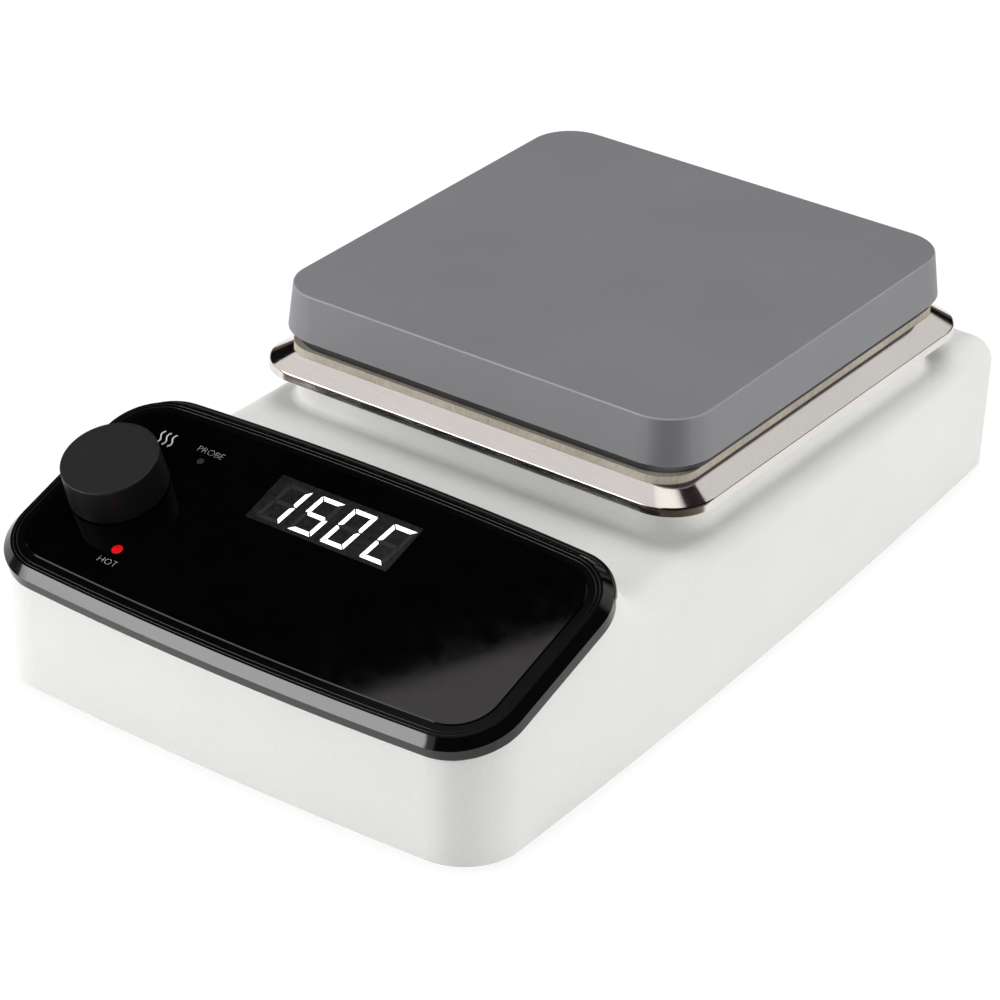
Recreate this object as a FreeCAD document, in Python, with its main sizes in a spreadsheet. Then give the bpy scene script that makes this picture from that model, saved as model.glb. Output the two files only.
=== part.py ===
import FreeCAD, Part
import math
import os
import Sketcher

# Laboratory hot plate: square heated plate over a drip tray on a cast white housing,
# with a leaning control console in front. Millimetres, +Z up, +Y to the rear.
# The origin lies on the table under the middle of the footprint.

Vector = FreeCAD.Vector
doc = FreeCAD.newDocument("laboratory_hot_plate")
sheet = doc.addObject("Spreadsheet::Sheet", "Sizes")
names = []
pieces = []


class Size:
    # a length that carries its number and the sheet formula it comes from
    def __init__(self, value, text):
        self.value = value
        self.text = text

    def __add__(self, other):
        other = as_size(other)
        return Size(self.value + other.value, "(" + self.text + " + " + other.text + ")")

    def __radd__(self, other):
        return as_size(other) + self

    def __sub__(self, other):
        other = as_size(other)
        return Size(self.value - other.value, "(" + self.text + " - " + other.text + ")")

    def __rsub__(self, other):
        return as_size(other) - self

    def __mul__(self, other):
        other = as_size(other)
        return Size(self.value * other.value, "(" + self.text + " * " + other.text + ")")

    def __rmul__(self, other):
        return as_size(other) * self

    def __truediv__(self, other):
        other = as_size(other)
        return Size(self.value / other.value, "(" + self.text + " / " + other.text + ")")

    def __neg__(self):
        return Size(-self.value, "(0 - " + self.text + ")")


def as_size(item):
    if isinstance(item, Size):
        return item
    return Size(float(item), "(" + repr(float(item)) + ")")


def root(item):
    return Size(math.sqrt(item.value), "sqrt(" + item.text + ")")


def sine(item):
    return Size(math.sin(math.radians(item.value)), "sin(" + item.text + " * 1deg)")


def cosine(item):
    return Size(math.cos(math.radians(item.value)), "cos(" + item.text + " * 1deg)")


def size(name, value):
    names.append(name)
    row = str(len(names))
    sheet.set("A" + row, name)
    sheet.set("B" + row, str(value))
    sheet.setAlias("B" + row, name)
    return Size(float(value), "Sizes." + name)


zero = as_size(0)

# Housing
foot_stand = size("foot_stand", 2.5)
body_front = size("body_front", 154.4)
body_rear = size("body_rear", 151.6)
crown_front = size("crown_front", 154.0)
front_bow = size("front_bow", 1.9)
base_corner = size("base_corner", 19.5)
crown_corner = size("crown_corner", 20.0)
rear_corner = size("rear_corner", 7.0)
crown_height = size("crown_height", 72.0)
shell_wall = size("shell_wall", 3.5)
deck_height = size("deck_height", 50.6)
shoulder_round = size("shoulder_round", 9.0)
saddle_round = size("saddle_round", 12.0)
saddle_slope = size("saddle_slope", 55.0)
shoulder_station = size("shoulder_station", -103.0)
turn_station = size("turn_station", -80.5)
neck_station = size("neck_station", -58.0)
waist_station = size("waist_station", -21.7)
back_station = size("back_station", 78.3)
body_half = size("body_half", 94.0)
base_turn_fall = size("base_turn_fall", 0.2)
base_neck_fall = size("base_neck_fall", 0.6)
base_waist_fall = size("base_waist_fall", 1.6)
base_back_fall = size("base_back_fall", 6.3)
base_end_fall = size("base_end_fall", 11.1)
crown_front_rise = size("crown_front_rise", 0.2)
crown_turn_fall = size("crown_turn_fall", 3.8)
crown_neck_fall = size("crown_neck_fall", 8.1)
crown_waist_fall = size("crown_waist_fall", 9.1)
crown_back_fall = size("crown_back_fall", 8.8)
crown_end_fall = size("crown_end_fall", 8.4)

# Console: a plane that leans back, with its own frame (across, up the slope, out of it)
console_front = size("console_front", 153.07)
console_height = size("console_height", 38.4)
console_lean = size("console_lean", 18.13)
console_run = size("console_run", 83.07)
seat_set_back = size("seat_set_back", 1.6)
bezel_proud = size("bezel_proud", 1.3)
bezel_half = body_half + bezel_proud
bezel_corner = size("bezel_corner", 21.2)
bezel_side = size("bezel_side", 3.7)
bezel_rise = size("bezel_rise", 6.6)
bezel_facet = size("bezel_facet", 2.8)
bezel_band = size("bezel_band", 11.0)
glass_inset = size("glass_inset", 7.4)
glass_gap = size("glass_gap", 0.15)
glass_thick = size("glass_thick", 2.2)
glass_top = size("glass_top", 6.9)
glass_edge = size("glass_edge", 0.3)
seat_open_inset = size("seat_open_inset", 12.8)
seat_open_half = bezel_half - seat_open_inset
seat_open_low = size("seat_open_low", 12.5)
seat_open_high = size("seat_open_high", 70.0)

# Heated stack
plate_centre = size("plate_centre", 47.0)
plate_margin = size("plate_margin", 14.0)
plate_half = body_half - plate_margin
plate_corner = size("plate_corner", 17.0)
plate_draft = size("plate_draft", 6.6)
plate_under = size("plate_under", 76.1)
plate_thick = size("plate_thick", 15.5)
plate_brow = size("plate_brow", 0.6)
plate_foot = size("plate_foot", 0.5)
rebate_inset = size("rebate_inset", 3.2)
rebate_deep = size("rebate_deep", 4.0)
heater_margin = size("heater_margin", 25.0)
heater_half = plate_half - heater_margin
heater_thick = size("heater_thick", 1.2)
heater_gap = size("heater_gap", 1.5)
recess_deep = size("recess_deep", 6.0)
clamp_thick = size("clamp_thick", 1.5)
clamp_inset = size("clamp_inset", 15.0)
clamp_spread = heater_half - clamp_inset
blanket_inset = size("blanket_inset", 0.2)
bolt_inset = size("bolt_inset", 19.0)
bolt_spread = plate_half - bolt_inset
pillar_round = size("pillar_round", 6.0)
tray_overhang = size("tray_overhang", 4.2)
tray_half = plate_half + tray_overhang
tray_corner = size("tray_corner", 16.0)
tray_rim = size("tray_rim", 65.2)
tray_lip = size("tray_lip", 2.7)
tray_top = size("tray_top", 69.5)
tray_slope_side = size("tray_slope_side", 7.4)
tray_slope_front = size("tray_slope_front", 5.6)
tray_sheet = size("tray_sheet", 0.8)
tray_roll = size("tray_roll", 0.9)
pedestal_inset = size("pedestal_inset", 5.7)
pedestal_half = tray_half - pedestal_inset
pedestal_set_back = size("pedestal_set_back", 7.2)
pedestal_deep = tray_half - pedestal_set_back
pedestal_corner = size("pedestal_corner", 17.0)
pedestal_rim = size("pedestal_rim", 64.6)
pedestal_root = size("pedestal_root", 3.0)
table_inset = size("table_inset", 6.0)
table_half = pedestal_half - table_inset
hollow_inset = size("hollow_inset", 1.5)
hollow_half = table_half - hollow_inset
shield_gap = size("shield_gap", 5.0)
shield_half = hollow_half - shield_gap
shield_low = size("shield_low", 40.0)
shield_thick = size("shield_thick", 1.0)

# Fasteners and small clearances
bolt_shank = size("bolt_shank", 2.0)
bolt_head = size("bolt_head", 3.6)
bolt_head_high = size("bolt_head_high", 3.0)
bolt_bite = size("bolt_bite", 9.0)
screw_shank = size("screw_shank", 1.5)
screw_head = size("screw_head", 2.8)
screw_head_high = size("screw_head_high", 1.6)
small_shank = size("small_shank", 1.25)
small_head = size("small_head", 2.2)
small_head_high = size("small_head_high", 1.4)
pass_gap = size("pass_gap", 0.3)
fit_gap = size("fit_gap", 0.4)
socket_share = size("socket_share", 0.5)

# Base plate and feet
sole_lift = size("sole_lift", 0.5)
sole_thick = size("sole_thick", 1.5)
boss_round = size("boss_round", 4.2)
boss_high = size("boss_high", 10.0)
boss_inset = size("boss_inset", 3.0)
boss_rear_half = size("boss_rear_half", 60.0)
foot_round = size("foot_round", 8.0)
foot_margin = size("foot_margin", 26.0)
foot_half = body_half - foot_margin
foot_front = size("foot_front", 128.0)
foot_rear = size("foot_rear", 124.0)
foot_recess = size("foot_recess", 1.2)
vent_long = size("vent_long", 36.0)
vent_wide = size("vent_wide", 3.0)
vent_pitch = size("vent_pitch", 7.0)
vent_start = size("vent_start", 20.0)

# Panel controls
panel_plate_thick = size("panel_plate_thick", 1.5)
panel_plate_low = size("panel_plate_low", 12.5)
panel_plate_high = size("panel_plate_high", 70.5)
panel_lap = size("panel_lap", 0.5)
panel_plate_half = seat_open_half + panel_lap
board_top = size("board_top", -4.4)
board_thick = size("board_thick", 1.6)
board_margin = size("board_margin", 3.5)
board_half = seat_open_half - board_margin
board_low = size("board_low", 15.0)
board_high = size("board_high", 67.5)
knob_inset = size("knob_inset", 24.5)
knob_across = -bezel_half + knob_inset
knob_up = size("knob_up", 41.9)
knob_round = size("knob_round", 16.0)
knob_taper = size("knob_taper", 0.5)
knob_lift = size("knob_lift", 0.7)
knob_high = size("knob_high", 12.1)
knob_edge = size("knob_edge", 0.4)
knob_hollow = size("knob_hollow", 8.6)
knob_hollow_deep = size("knob_hollow_deep", 2.4)
shaft_round = size("shaft_round", 3.0)
shaft_end = size("shaft_end", 17.0)
shaft_tail = size("shaft_tail", 3.4)
shaft_flat = size("shaft_flat", 1.5)
shaft_gap = size("shaft_gap", 0.05)
encoder_half = size("encoder_half", 6.2)
bush_round = size("bush_round", 4.5)
bush_top = size("bush_top", 8.6)
nut_flat = size("nut_flat", 6.0)
nut_thick = size("nut_thick", 2.0)
washer_thick = size("washer_thick", 0.5)
washer_round = size("washer_round", 6.6)
hot_offset = size("hot_offset", 16.4)
hot_across = knob_across + hot_offset
hot_up = size("hot_up", 20.8)
hot_round = size("hot_round", 1.8)
probe_offset = size("probe_offset", 16.3)
probe_across = knob_across + probe_offset
probe_up = size("probe_up", 62.1)
probe_round = size("probe_round", 1.2)
lamp_base = size("lamp_base", 0.8)
lamp_base_high = size("lamp_base_high", 3.0)
display_half = size("display_half", 26.5)
display_low = size("display_low", 49.2)
display_high = size("display_high", 68.3)
post_round = size("post_round", 2.6)
post_inset = size("post_inset", 5.0)
post_half = board_half - post_inset
post_low = size("post_low", 20.0)
post_high = size("post_high", 62.5)
bezel_screw_inset = size("bezel_screw_inset", 8.7)
bezel_screw_half = bezel_half - bezel_screw_inset
bezel_screw_low = size("bezel_screw_low", 22.0)
bezel_screw_high = size("bezel_screw_high", 60.0)
bezel_screw_bite = size("bezel_screw_bite", 3.4)

# Power electronics
power_half = size("power_half", 62.0)
power_front = size("power_front", -108.0)
power_rear = size("power_rear", -12.0)
power_lift = size("power_lift", 6.0)
power_inset = size("power_inset", 5.0)
transformer_wide = size("transformer_wide", 34.0)
transformer_deep = size("transformer_deep", 29.0)
transformer_high = size("transformer_high", 14.0)
relay_wide = size("relay_wide", 12.0)
relay_deep = size("relay_deep", 28.0)
relay_high = size("relay_high", 13.0)
triac_wide = size("triac_wide", 10.2)
triac_thick = size("triac_thick", 4.5)
triac_high = size("triac_high", 13.0)
sink_wide = size("sink_wide", 46.0)
sink_deep = size("sink_deep", 14.0)
sink_high = size("sink_high", 20.0)
sink_web = size("sink_web", 3.0)
sink_fin = size("sink_fin", 1.2)
sink_pitch = size("sink_pitch", 5.0)
terminal_wide = size("terminal_wide", 40.0)
terminal_deep = size("terminal_deep", 11.0)
terminal_high = size("terminal_high", 13.0)
terminal_pitch = size("terminal_pitch", 8.0)
fuse_round = size("fuse_round", 2.6)
fuse_long = size("fuse_long", 20.0)
fuse_lift = size("fuse_lift", 5.0)

# Rear connections
rear_line = size("rear_line", 26.0)
inlet_across = size("inlet_across", -42.0)
inlet_flange_half = size("inlet_flange_half", 25.0)
inlet_flange_tall = size("inlet_flange_tall", 11.2)
inlet_flange = size("inlet_flange", 2.8)
inlet_half = size("inlet_half", 13.6)
inlet_tall = size("inlet_tall", 9.9)
inlet_deep = size("inlet_deep", 16.0)
inlet_mouth_half = size("inlet_mouth_half", 12.2)
inlet_mouth_tall = size("inlet_mouth_tall", 8.0)
inlet_floor = size("inlet_floor", 2.0)
inlet_hole = size("inlet_hole", 20.0)
pin_wide = size("pin_wide", 4.0)
pin_thick = size("pin_thick", 2.0)
pin_spread = size("pin_spread", 7.0)
pin_drop = size("pin_drop", 2.0)
switch_across = size("switch_across", 12.0)
switch_half = size("switch_half", 6.4)
switch_tall = size("switch_tall", 9.6)
switch_flange_half = size("switch_flange_half", 7.6)
switch_flange_tall = size("switch_flange_tall", 10.6)
switch_flange = size("switch_flange", 1.5)
switch_deep = size("switch_deep", 15.0)
switch_wall = size("switch_wall", 1.0)
switch_well = size("switch_well", 9.0)
rocker_half = size("rocker_half", 5.0)
rocker_tall = size("rocker_tall", 7.8)
rocker_top = size("rocker_top", 3.6)
rocker_pivot = size("rocker_pivot", 2.6)
rocker_tilt = size("rocker_tilt", 9.0)
rocker_axle = size("rocker_axle", 1.2)
jack_across = size("jack_across", 46.0)
jack_thread = size("jack_thread", 3.0)
jack_bore = size("jack_bore", 1.8)
jack_deep = size("jack_deep", 14.0)
jack_body = size("jack_body", 4.5)
jack_tip = size("jack_tip", 3.2)
jack_nut = size("jack_nut", 2.0)
jack_nut_flat = size("jack_nut_flat", 4.0)

doc.recompute()

lean_sine = sine(console_lean)
lean_cosine = cosine(console_lean)


def lean_y(up, out):
    return up * lean_cosine - out * lean_sine - console_front


def lean_z(up, out):
    return console_height + up * lean_sine + out * lean_cosine


def bind(thing, path, item):
    thing.setExpression(path, as_size(item).text)


def put(thing, x, y, z, angle=None):
    # place a piece, turned about the line that runs from left to right
    angle = as_size(0 if angle is None else angle)
    base = Vector(as_size(x).value, as_size(y).value, as_size(z).value)
    thing.Placement = FreeCAD.Placement(base, FreeCAD.Rotation(Vector(1, 0, 0), angle.value))
    bind(thing, "Placement.Base.x", x)
    bind(thing, "Placement.Base.y", y)
    bind(thing, "Placement.Base.z", z)
    if angle.value != 0:
        thing.setExpression("Placement.Rotation.Angle", angle.text + " * 1deg")


def put_lean(thing, across, up, out):
    put(thing, across, lean_y(up, out), lean_z(up, out), console_lean)


def keep(thing, label):
    thing.Label = label
    pieces.append(thing)
    return thing


def new_body(label):
    body = doc.addObject("PartDesign::Body", label)
    return keep(body, label)


def origin_plane(body, role):
    return [item for item in body.Origin.OriginFeatures if item.Role == role][0]


def sketch(body, lift=0, y=0, angle=None, role="XY_Plane"):
    drawing = body.newObject("Sketcher::SketchObject", body.Name + "_sketch")
    drawing.AttachmentSupport = [(origin_plane(body, role), "")]
    drawing.MapMode = "FlatFace"
    angle = as_size(0 if angle is None else angle)
    base = Vector(0, as_size(y).value, as_size(lift).value)
    drawing.AttachmentOffset = FreeCAD.Placement(base, FreeCAD.Rotation(Vector(1, 0, 0), angle.value))
    bind(drawing, "AttachmentOffset.Base.y", y)
    bind(drawing, "AttachmentOffset.Base.z", lift)
    if angle.value != 0:
        drawing.setExpression("AttachmentOffset.Rotation.Angle", angle.text + " * 1deg")
    return drawing


def sketch_lean(body, out):
    return sketch(body, lean_z(zero, out), lean_y(zero, out), console_lean)


def constrain(drawing, constraint, item=None):
    index = drawing.addConstraint(constraint)
    if item is not None:
        drawing.setExpression("Constraints[" + str(index) + "]", as_size(item).text)


def pin_point(drawing, shape, end, x, y):
    x = as_size(x)
    y = as_size(y)
    constrain(drawing, Sketcher.Constraint("DistanceX", -1, 1, shape, end, x.value), x)
    constrain(drawing, Sketcher.Constraint("DistanceY", -1, 1, shape, end, y.value), y)


def polygon(drawing, points):
    # closed run of straight edges with every corner held by the sheet
    points = [(as_size(x), as_size(y)) for x, y in points]
    lines = []
    for index, start in enumerate(points):
        stop = points[(index + 1) % len(points)]
        first = Vector(start[0].value, start[1].value, 0)
        second = Vector(stop[0].value, stop[1].value, 0)
        lines.append(drawing.addGeometry(Part.LineSegment(first, second), False))
    for index, line in enumerate(lines):
        after = lines[(index + 1) % len(lines)]
        drawing.addConstraint(Sketcher.Constraint("Coincident", line, 2, after, 1))
    for line, start in zip(lines, points):
        pin_point(drawing, line, 1, start[0], start[1])


def rectangle(drawing, left, right, low, high):
    polygon(drawing, [(left, low), (right, low), (right, high), (left, high)])


def circle(drawing, x, y, radius):
    x = as_size(x)
    y = as_size(y)
    radius = as_size(radius)
    shape = Part.Circle(Vector(x.value, y.value, 0), Vector(0, 0, 1), radius.value)
    index = drawing.addGeometry(shape, False)
    constrain(drawing, Sketcher.Constraint("Radius", index, radius.value), radius)
    pin_point(drawing, index, 3, x, y)


def loop_of(drawing, ends, middles, radii):
    # closed run of edges through given ends; an edge with a middle point is an arc
    shapes = []
    for index, start in enumerate(ends):
        stop = ends[(index + 1) % len(ends)]
        first = Vector(start[0].value, start[1].value, 0)
        second = Vector(stop[0].value, stop[1].value, 0)
        if middles[index] is None:
            shapes.append(drawing.addGeometry(Part.LineSegment(first, second), False))
        else:
            arc = Part.Arc(first, middles[index], second)
            shapes.append(drawing.addGeometry(arc, False))
    # arcs are stored turning left, so every loop is drawn that way round
    for index, start in enumerate(ends):
        drawing.addConstraint(Sketcher.Constraint("Coincident", shapes[index - 1], 2, shapes[index], 1))
        pin_point(drawing, shapes[index], 1, start[0], start[1])
    for index, radius in enumerate(radii):
        if radius is not None:
            value = as_size(radius)
            constrain(drawing, Sketcher.Constraint("Radius", shapes[index], value.value), value)


def rounded(drawing, half_x, low, high, radius):
    # rectangle with round corners, its middle on the line from front to back
    half_x = as_size(half_x)
    low = as_size(low)
    high = as_size(high)
    radius = as_size(radius)
    x = half_x - radius
    ends = [(-x, low), (x, low), (half_x, low + radius), (half_x, high - radius)]
    ends = ends + [(x, high), (-x, high), (-half_x, high - radius), (-half_x, low + radius)]
    reach = radius.value * math.sqrt(0.5)
    far = x.value + reach
    below = low.value + radius.value - reach
    above = high.value - radius.value + reach
    middles = [None, Vector(far, below, 0), None, Vector(far, above, 0)]
    middles = middles + [None, Vector(-far, above, 0), None, Vector(-far, below, 0)]
    radii = [None, radius, None, radius, None, radius, None, radius]
    loop_of(drawing, ends, middles, radii)


def bowed(drawing, half, low, high, radius, bow):
    # console outline: straight sides, round corners, front and rear edges bowed outwards
    half = as_size(half)
    low = as_size(low)
    high = as_size(high)
    radius = as_size(radius)
    x = half - radius
    large = (x * x + bow * bow) / (2 * bow)
    share = x / (large - radius)
    rise = root(1 - share * share)
    low_centre = low - bow + large - (large - radius) * rise
    high_centre = high + bow - large + (large - radius) * rise
    side_x = x + radius * share
    low_y = low_centre - radius * rise
    high_y = high_centre + radius * rise
    ends = [(-side_x, low_y), (side_x, low_y), (half, low_centre), (half, high_centre)]
    ends = ends + [(side_x, high_y), (-side_x, high_y), (-half, high_centre), (-half, low_centre)]
    angle = math.atan2(rise.value, share.value) / 2
    far = x.value + radius.value * math.cos(angle)
    reach = radius.value * math.sin(angle)
    below = low_centre.value - reach
    above = high_centre.value + reach
    middles = [Vector(0, (low - bow).value, 0), Vector(far, below, 0), None, Vector(far, above, 0)]
    middles = middles + [Vector(0, (high + bow).value, 0), Vector(-far, above, 0), None]
    middles = middles + [Vector(-far, below, 0)]
    radii = [large, radius, None, radius, large, radius, None, radius]
    loop_of(drawing, ends, middles, radii)


def pad(body, drawing, length, down=False):
    feature = body.newObject("PartDesign::Pad", body.Name + "_pad")
    feature.Profile = drawing
    feature.Reversed = down
    bind(feature, "Length", length)
    drawing.Visibility = False
    return feature


def pocket(body, drawing, depth=None, up=False, both=False):
    feature = body.newObject("PartDesign::Pocket", body.Name + "_pocket")
    feature.Profile = drawing
    feature.Reversed = up
    if depth is None:
        feature.Type = "ThroughAll"
    else:
        bind(feature, "Length", depth)
    if both:
        feature.SideType = "Symmetric"
    return feature


def loft(body, first, second, cut=False):
    kind = "SubtractiveLoft" if cut else "AdditiveLoft"
    feature = body.newObject("PartDesign::" + kind, body.Name + "_loft")
    feature.Profile = first
    feature.Sections = [second]
    feature.Ruled = True
    return feature


def edges_where(feature, test):
    doc.recompute()
    found = []
    for index, edge in enumerate(feature.Shape.Edges):
        if test(edge):
            found.append("Edge" + str(index + 1))
    return found


def round_edges(body, feature, test, radius, chamfer=False):
    chosen = edges_where(feature, test)
    kind = "Chamfer" if chamfer else "Fillet"
    result = body.newObject("PartDesign::" + kind, body.Name + "_" + kind.lower())
    result.Base = (feature, chosen)
    bind(result, "Size" if chamfer else "Radius", radius)
    return result


def box(name, left, right, front, back, low, high):
    thing = doc.addObject("Part::Box", name)
    bind(thing, "Length", as_size(right) - left)
    bind(thing, "Width", as_size(back) - front)
    bind(thing, "Height", as_size(high) - low)
    put(thing, left, front, low)
    return thing


def rod(name, x, y, low, high, radius):
    thing = doc.addObject("Part::Cylinder", name)
    bind(thing, "Radius", radius)
    bind(thing, "Height", as_size(high) - low)
    put(thing, x, y, low)
    return thing


def join(name, things):
    result = doc.addObject("Part::MultiFuse", name)
    result.Shapes = things
    return result


def cut(name, base, tool):
    result = doc.addObject("Part::Cut", name)
    result.Base = base
    result.Tool = tool
    return result


def group(label, things):
    result = doc.addObject("Part::Compound", label)
    result.Links = things
    return keep(result, label)


def headed(name, head, head_high, shank, long, sides=6):
    # screw standing head down at its own origin: the head's seat is at zero, the shank rises
    top = rod(name + "_head", 0, 0, -as_size(head_high), 0, head)
    stem = rod(name + "_stem", 0, 0, -as_size(head_high) / 2, long, shank)
    drive = doc.addObject("Part::Prism", name + "_drive")
    drive.Polygon = sides
    bind(drive, "Circumradius", as_size(head) * socket_share)
    bind(drive, "Height", as_size(head_high) / 2)
    put(drive, 0, 0, -as_size(head_high))
    return cut(name, join(name + "_whole", [top, stem]), drive)


# Plan outline of the housing at one height
back_half = body_half - base_back_fall
base_halves = [body_half, body_half, body_half - base_turn_fall, body_half - base_neck_fall]
base_halves = base_halves + [body_half - base_waist_fall, back_half, body_half - base_end_fall]
crown_halves = [body_half + crown_front_rise, body_half]
for fall in (crown_turn_fall, crown_neck_fall, crown_waist_fall, crown_back_fall, crown_end_fall):
    crown_halves.append(body_half - fall)
stations = [shoulder_station, turn_station, neck_station, waist_station, back_station]


def mirrored(point):
    return Vector(-point.x, point.y, point.z)


def side_curve(points):
    curve = Part.BSplineCurve()
    finish = (points[-1] - points[-2]).normalize()
    steps = [point.y - points[0].y for point in points]
    curve.interpolate(Points=points, Parameters=steps, InitialTangent=Vector(0, 1, 0), FinalTangent=finish)
    return curve.toShape()


def plan_outline(name, height, halves, front, corner, inset):
    # bowed front, round front corners, freely curved sides, small rear corners
    level = as_size(height).value
    wide = [half.value - inset for half in halves]
    radius = corner.value - inset
    small = max(rear_corner.value - inset, 0.5)
    bow = front_bow.value
    forward = inset - front.value
    rear = body_rear.value - inset
    x = wide[0] - radius
    large = (x * x + bow * bow) / (2 * bow)
    share = x / (large - radius)
    rise = math.sqrt(1 - share * share)
    centre = forward + large - (large - radius) * rise
    front_end = Vector(x + radius * share, centre - radius * rise, level)
    angle = math.atan2(-rise, share) / 2
    corner_middle = Vector(x + radius * math.cos(angle), centre + radius * math.sin(angle), level)
    points = [Vector(wide[0], centre, level)]
    for half, station in zip(wide[1:-1], stations):
        points.append(Vector(half, station.value, level))
    last = Vector(wide[-1], rear - small, level)
    along = (last - points[-1]).normalize()
    outward = Vector(along.y, -along.x, 0)
    last = last + along * (outward.y * small / along.y)
    points.append(last)
    round_centre = last - outward * small
    turn = (math.atan2(outward.y, outward.x) + math.pi / 2) / 2
    rear_middle = round_centre + Vector(small * math.cos(turn), small * math.sin(turn), 0)
    rear_end = round_centre + Vector(0, small, 0)
    apex = Vector(0, forward, level)
    left = [mirrored(point) for point in points]
    edges = [Part.Arc(mirrored(front_end), apex, front_end).toShape()]
    edges.append(Part.Arc(front_end, corner_middle, points[0]).toShape())
    edges.append(side_curve(points))
    edges.append(Part.Arc(points[-1], rear_middle, rear_end).toShape())
    edges.append(Part.makeLine(rear_end, mirrored(rear_end)))
    edges.append(Part.Arc(mirrored(rear_end), mirrored(rear_middle), left[-1]).toShape())
    edges.append(side_curve(left))
    edges.append(Part.Arc(left[0], mirrored(corner_middle), mirrored(front_end)).toShape())
    outline = doc.addObject("Part::Feature", name)
    outline.Shape = Part.Wire(Part.sortEdges(edges)[0])
    return outline


def shell_solid(label, inset, rounding, saddle):
    # free walls between two plan outlines, cut by the console plane, the saddle and the deck
    low = plan_outline(label + "_base", foot_stand, base_halves, body_front, base_corner, inset.value)
    high = plan_outline(label + "_crown", crown_height, crown_halves, crown_front, crown_corner, inset.value)
    walls = doc.addObject("Part::Loft", label + "_walls")
    walls.Sections = [low, high]
    walls.Solid = True
    walls.Ruled = True
    body = doc.addObject("PartDesign::Body", label)
    start = body.newObject("PartDesign::FeatureBase", label + "_start")
    start.BaseFeature = walls
    profile = sketch(body, role="YZ_Plane")
    run = console_run - seat_set_back - inset * 1.3
    deck = deck_height - inset
    ridge_y = lean_y(run, -inset)
    ridge_z = lean_z(run, -inset)
    foot_y = ridge_y + (ridge_z - deck) * cosine(saddle_slope) / sine(saddle_slope)
    far = body_rear + 40
    top = crown_height + 40
    near = lean_y(as_size(-30), -inset)
    points = [(near, lean_z(as_size(-30), -inset)), (ridge_y, ridge_z), (foot_y, deck)]
    points = points + [(far, deck), (far, top), (near, top)]
    polygon(profile, points)
    carved = pocket(body, profile, both=True)

    def in_saddle(edge):
        centre = edge.CenterOfMass
        close = abs(centre.y - foot_y.value) < 0.5 and abs(centre.z - deck.value) < 0.5
        return close and abs(centre.x) < 1

    eased = round_edges(body, carved, in_saddle, saddle)

    def on_shoulder(edge):
        place = edge.BoundBox
        centre = edge.CenterOfMass
        if place.ZMin < deck.value - 1 or place.YMin < ridge_y.value - 1:
            return False
        return abs(centre.x) > 1 or centre.y > body_rear.value - 12

    shaped = round_edges(body, eased, on_shoulder, rounding)
    body.Tip = shaped
    return body


# Hollow core of the housing, then the housing around it
core = shell_solid("core", shell_wall, rear_corner - shell_wall - 0.5, saddle_round + shell_wall)
hollow = sketch(core, deck_height - shell_wall - 1)
rounded(hollow, hollow_half, plate_centre - hollow_half, plate_centre + hollow_half, pedestal_corner)
table_under = tray_top - tray_sheet - shell_wall
pad(core, hollow, table_under - deck_height + shell_wall + 1)
doc.recompute()

housing = shell_solid("enclosure", zero, shoulder_round, saddle_round)
keep(housing, "enclosure")
raised = sketch(housing, deck_height - 6)
rounded(raised, pedestal_half, plate_centre - pedestal_deep, plate_centre + pedestal_deep, pedestal_corner)
pedestal = pad(housing, raised, pedestal_rim - deck_height + 6)


def at_pedestal_root(edge):
    place = edge.BoundBox
    centre = edge.CenterOfMass
    if place.ZMax > deck_height.value + 1 or place.ZMin < deck_height.value - 6:
        return False
    across = abs(centre.x) / pedestal_half.value
    along = abs(centre.y - plate_centre.value) / pedestal_deep.value
    if across > 1.0005 or along > 1.0005:
        return False
    corner_x = pedestal_half.value - pedestal_corner.value
    corner_y = pedestal_deep.value - pedestal_corner.value
    for vertex in edge.Vertexes:
        x = abs(vertex.X)
        y = abs(vertex.Y - plate_centre.value)
        on_side = abs(x - pedestal_half.value) < 0.01 or abs(y - pedestal_deep.value) < 0.01
        if x > corner_x and y > corner_y:
            reach = math.hypot(x - corner_x, y - corner_y)
            on_side = abs(reach - pedestal_corner.value) < 0.05
        if not on_side:
            return False
    return True


rooted = round_edges(housing, pedestal, at_pedestal_root, pedestal_root)
table = sketch(housing, pedestal_rim - 1)
rounded(table, table_half, plate_centre - table_half, plate_centre + table_half, pedestal_corner)
pad(housing, table, tray_top - tray_sheet - pedestal_rim + 1)
doc.recompute()
shelled = housing.newObject("PartDesign::Boolean", "enclosure_shelled")
shelled.Type = "Cut"
shelled.setObjects([core])
doc.recompute()

sole_top = foot_stand + sole_lift + sole_thick
boss_spots = []
for side in (-1, 1):
    boss_spots.append((side * (body_half - shell_wall - boss_inset), shoulder_station))
    boss_spots.append((side * (back_half - shell_wall - boss_inset), back_station))
    boss_spots.append((side * boss_rear_half, body_rear - shell_wall - boss_inset))
bosses = sketch(housing, sole_top)
for x, y in boss_spots:
    circle(bosses, x, y, boss_round)
pad(housing, bosses, boss_high)
boss_holes = sketch(housing, sole_top)
for x, y in boss_spots:
    circle(boss_holes, x, y, screw_shank)
pocket(housing, boss_holes, boss_high - 1, up=True)

# Console seat opening and the holes for the bezel screws
seat = sketch_lean(housing, as_size(1))
rectangle(seat, -seat_open_half, seat_open_half, seat_open_low, seat_open_high)
pocket(housing, seat, shell_wall + 3)
bezel_spots = []
for side in (-1, 1):
    for up in (bezel_screw_low, bezel_screw_high):
        bezel_spots.append((side * bezel_screw_half, up))
seat_holes = sketch_lean(housing, as_size(1))
for x, y in bezel_spots:
    circle(seat_holes, x, y, screw_shank + pass_gap)
pocket(housing, seat_holes, shell_wall + 3)

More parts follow.
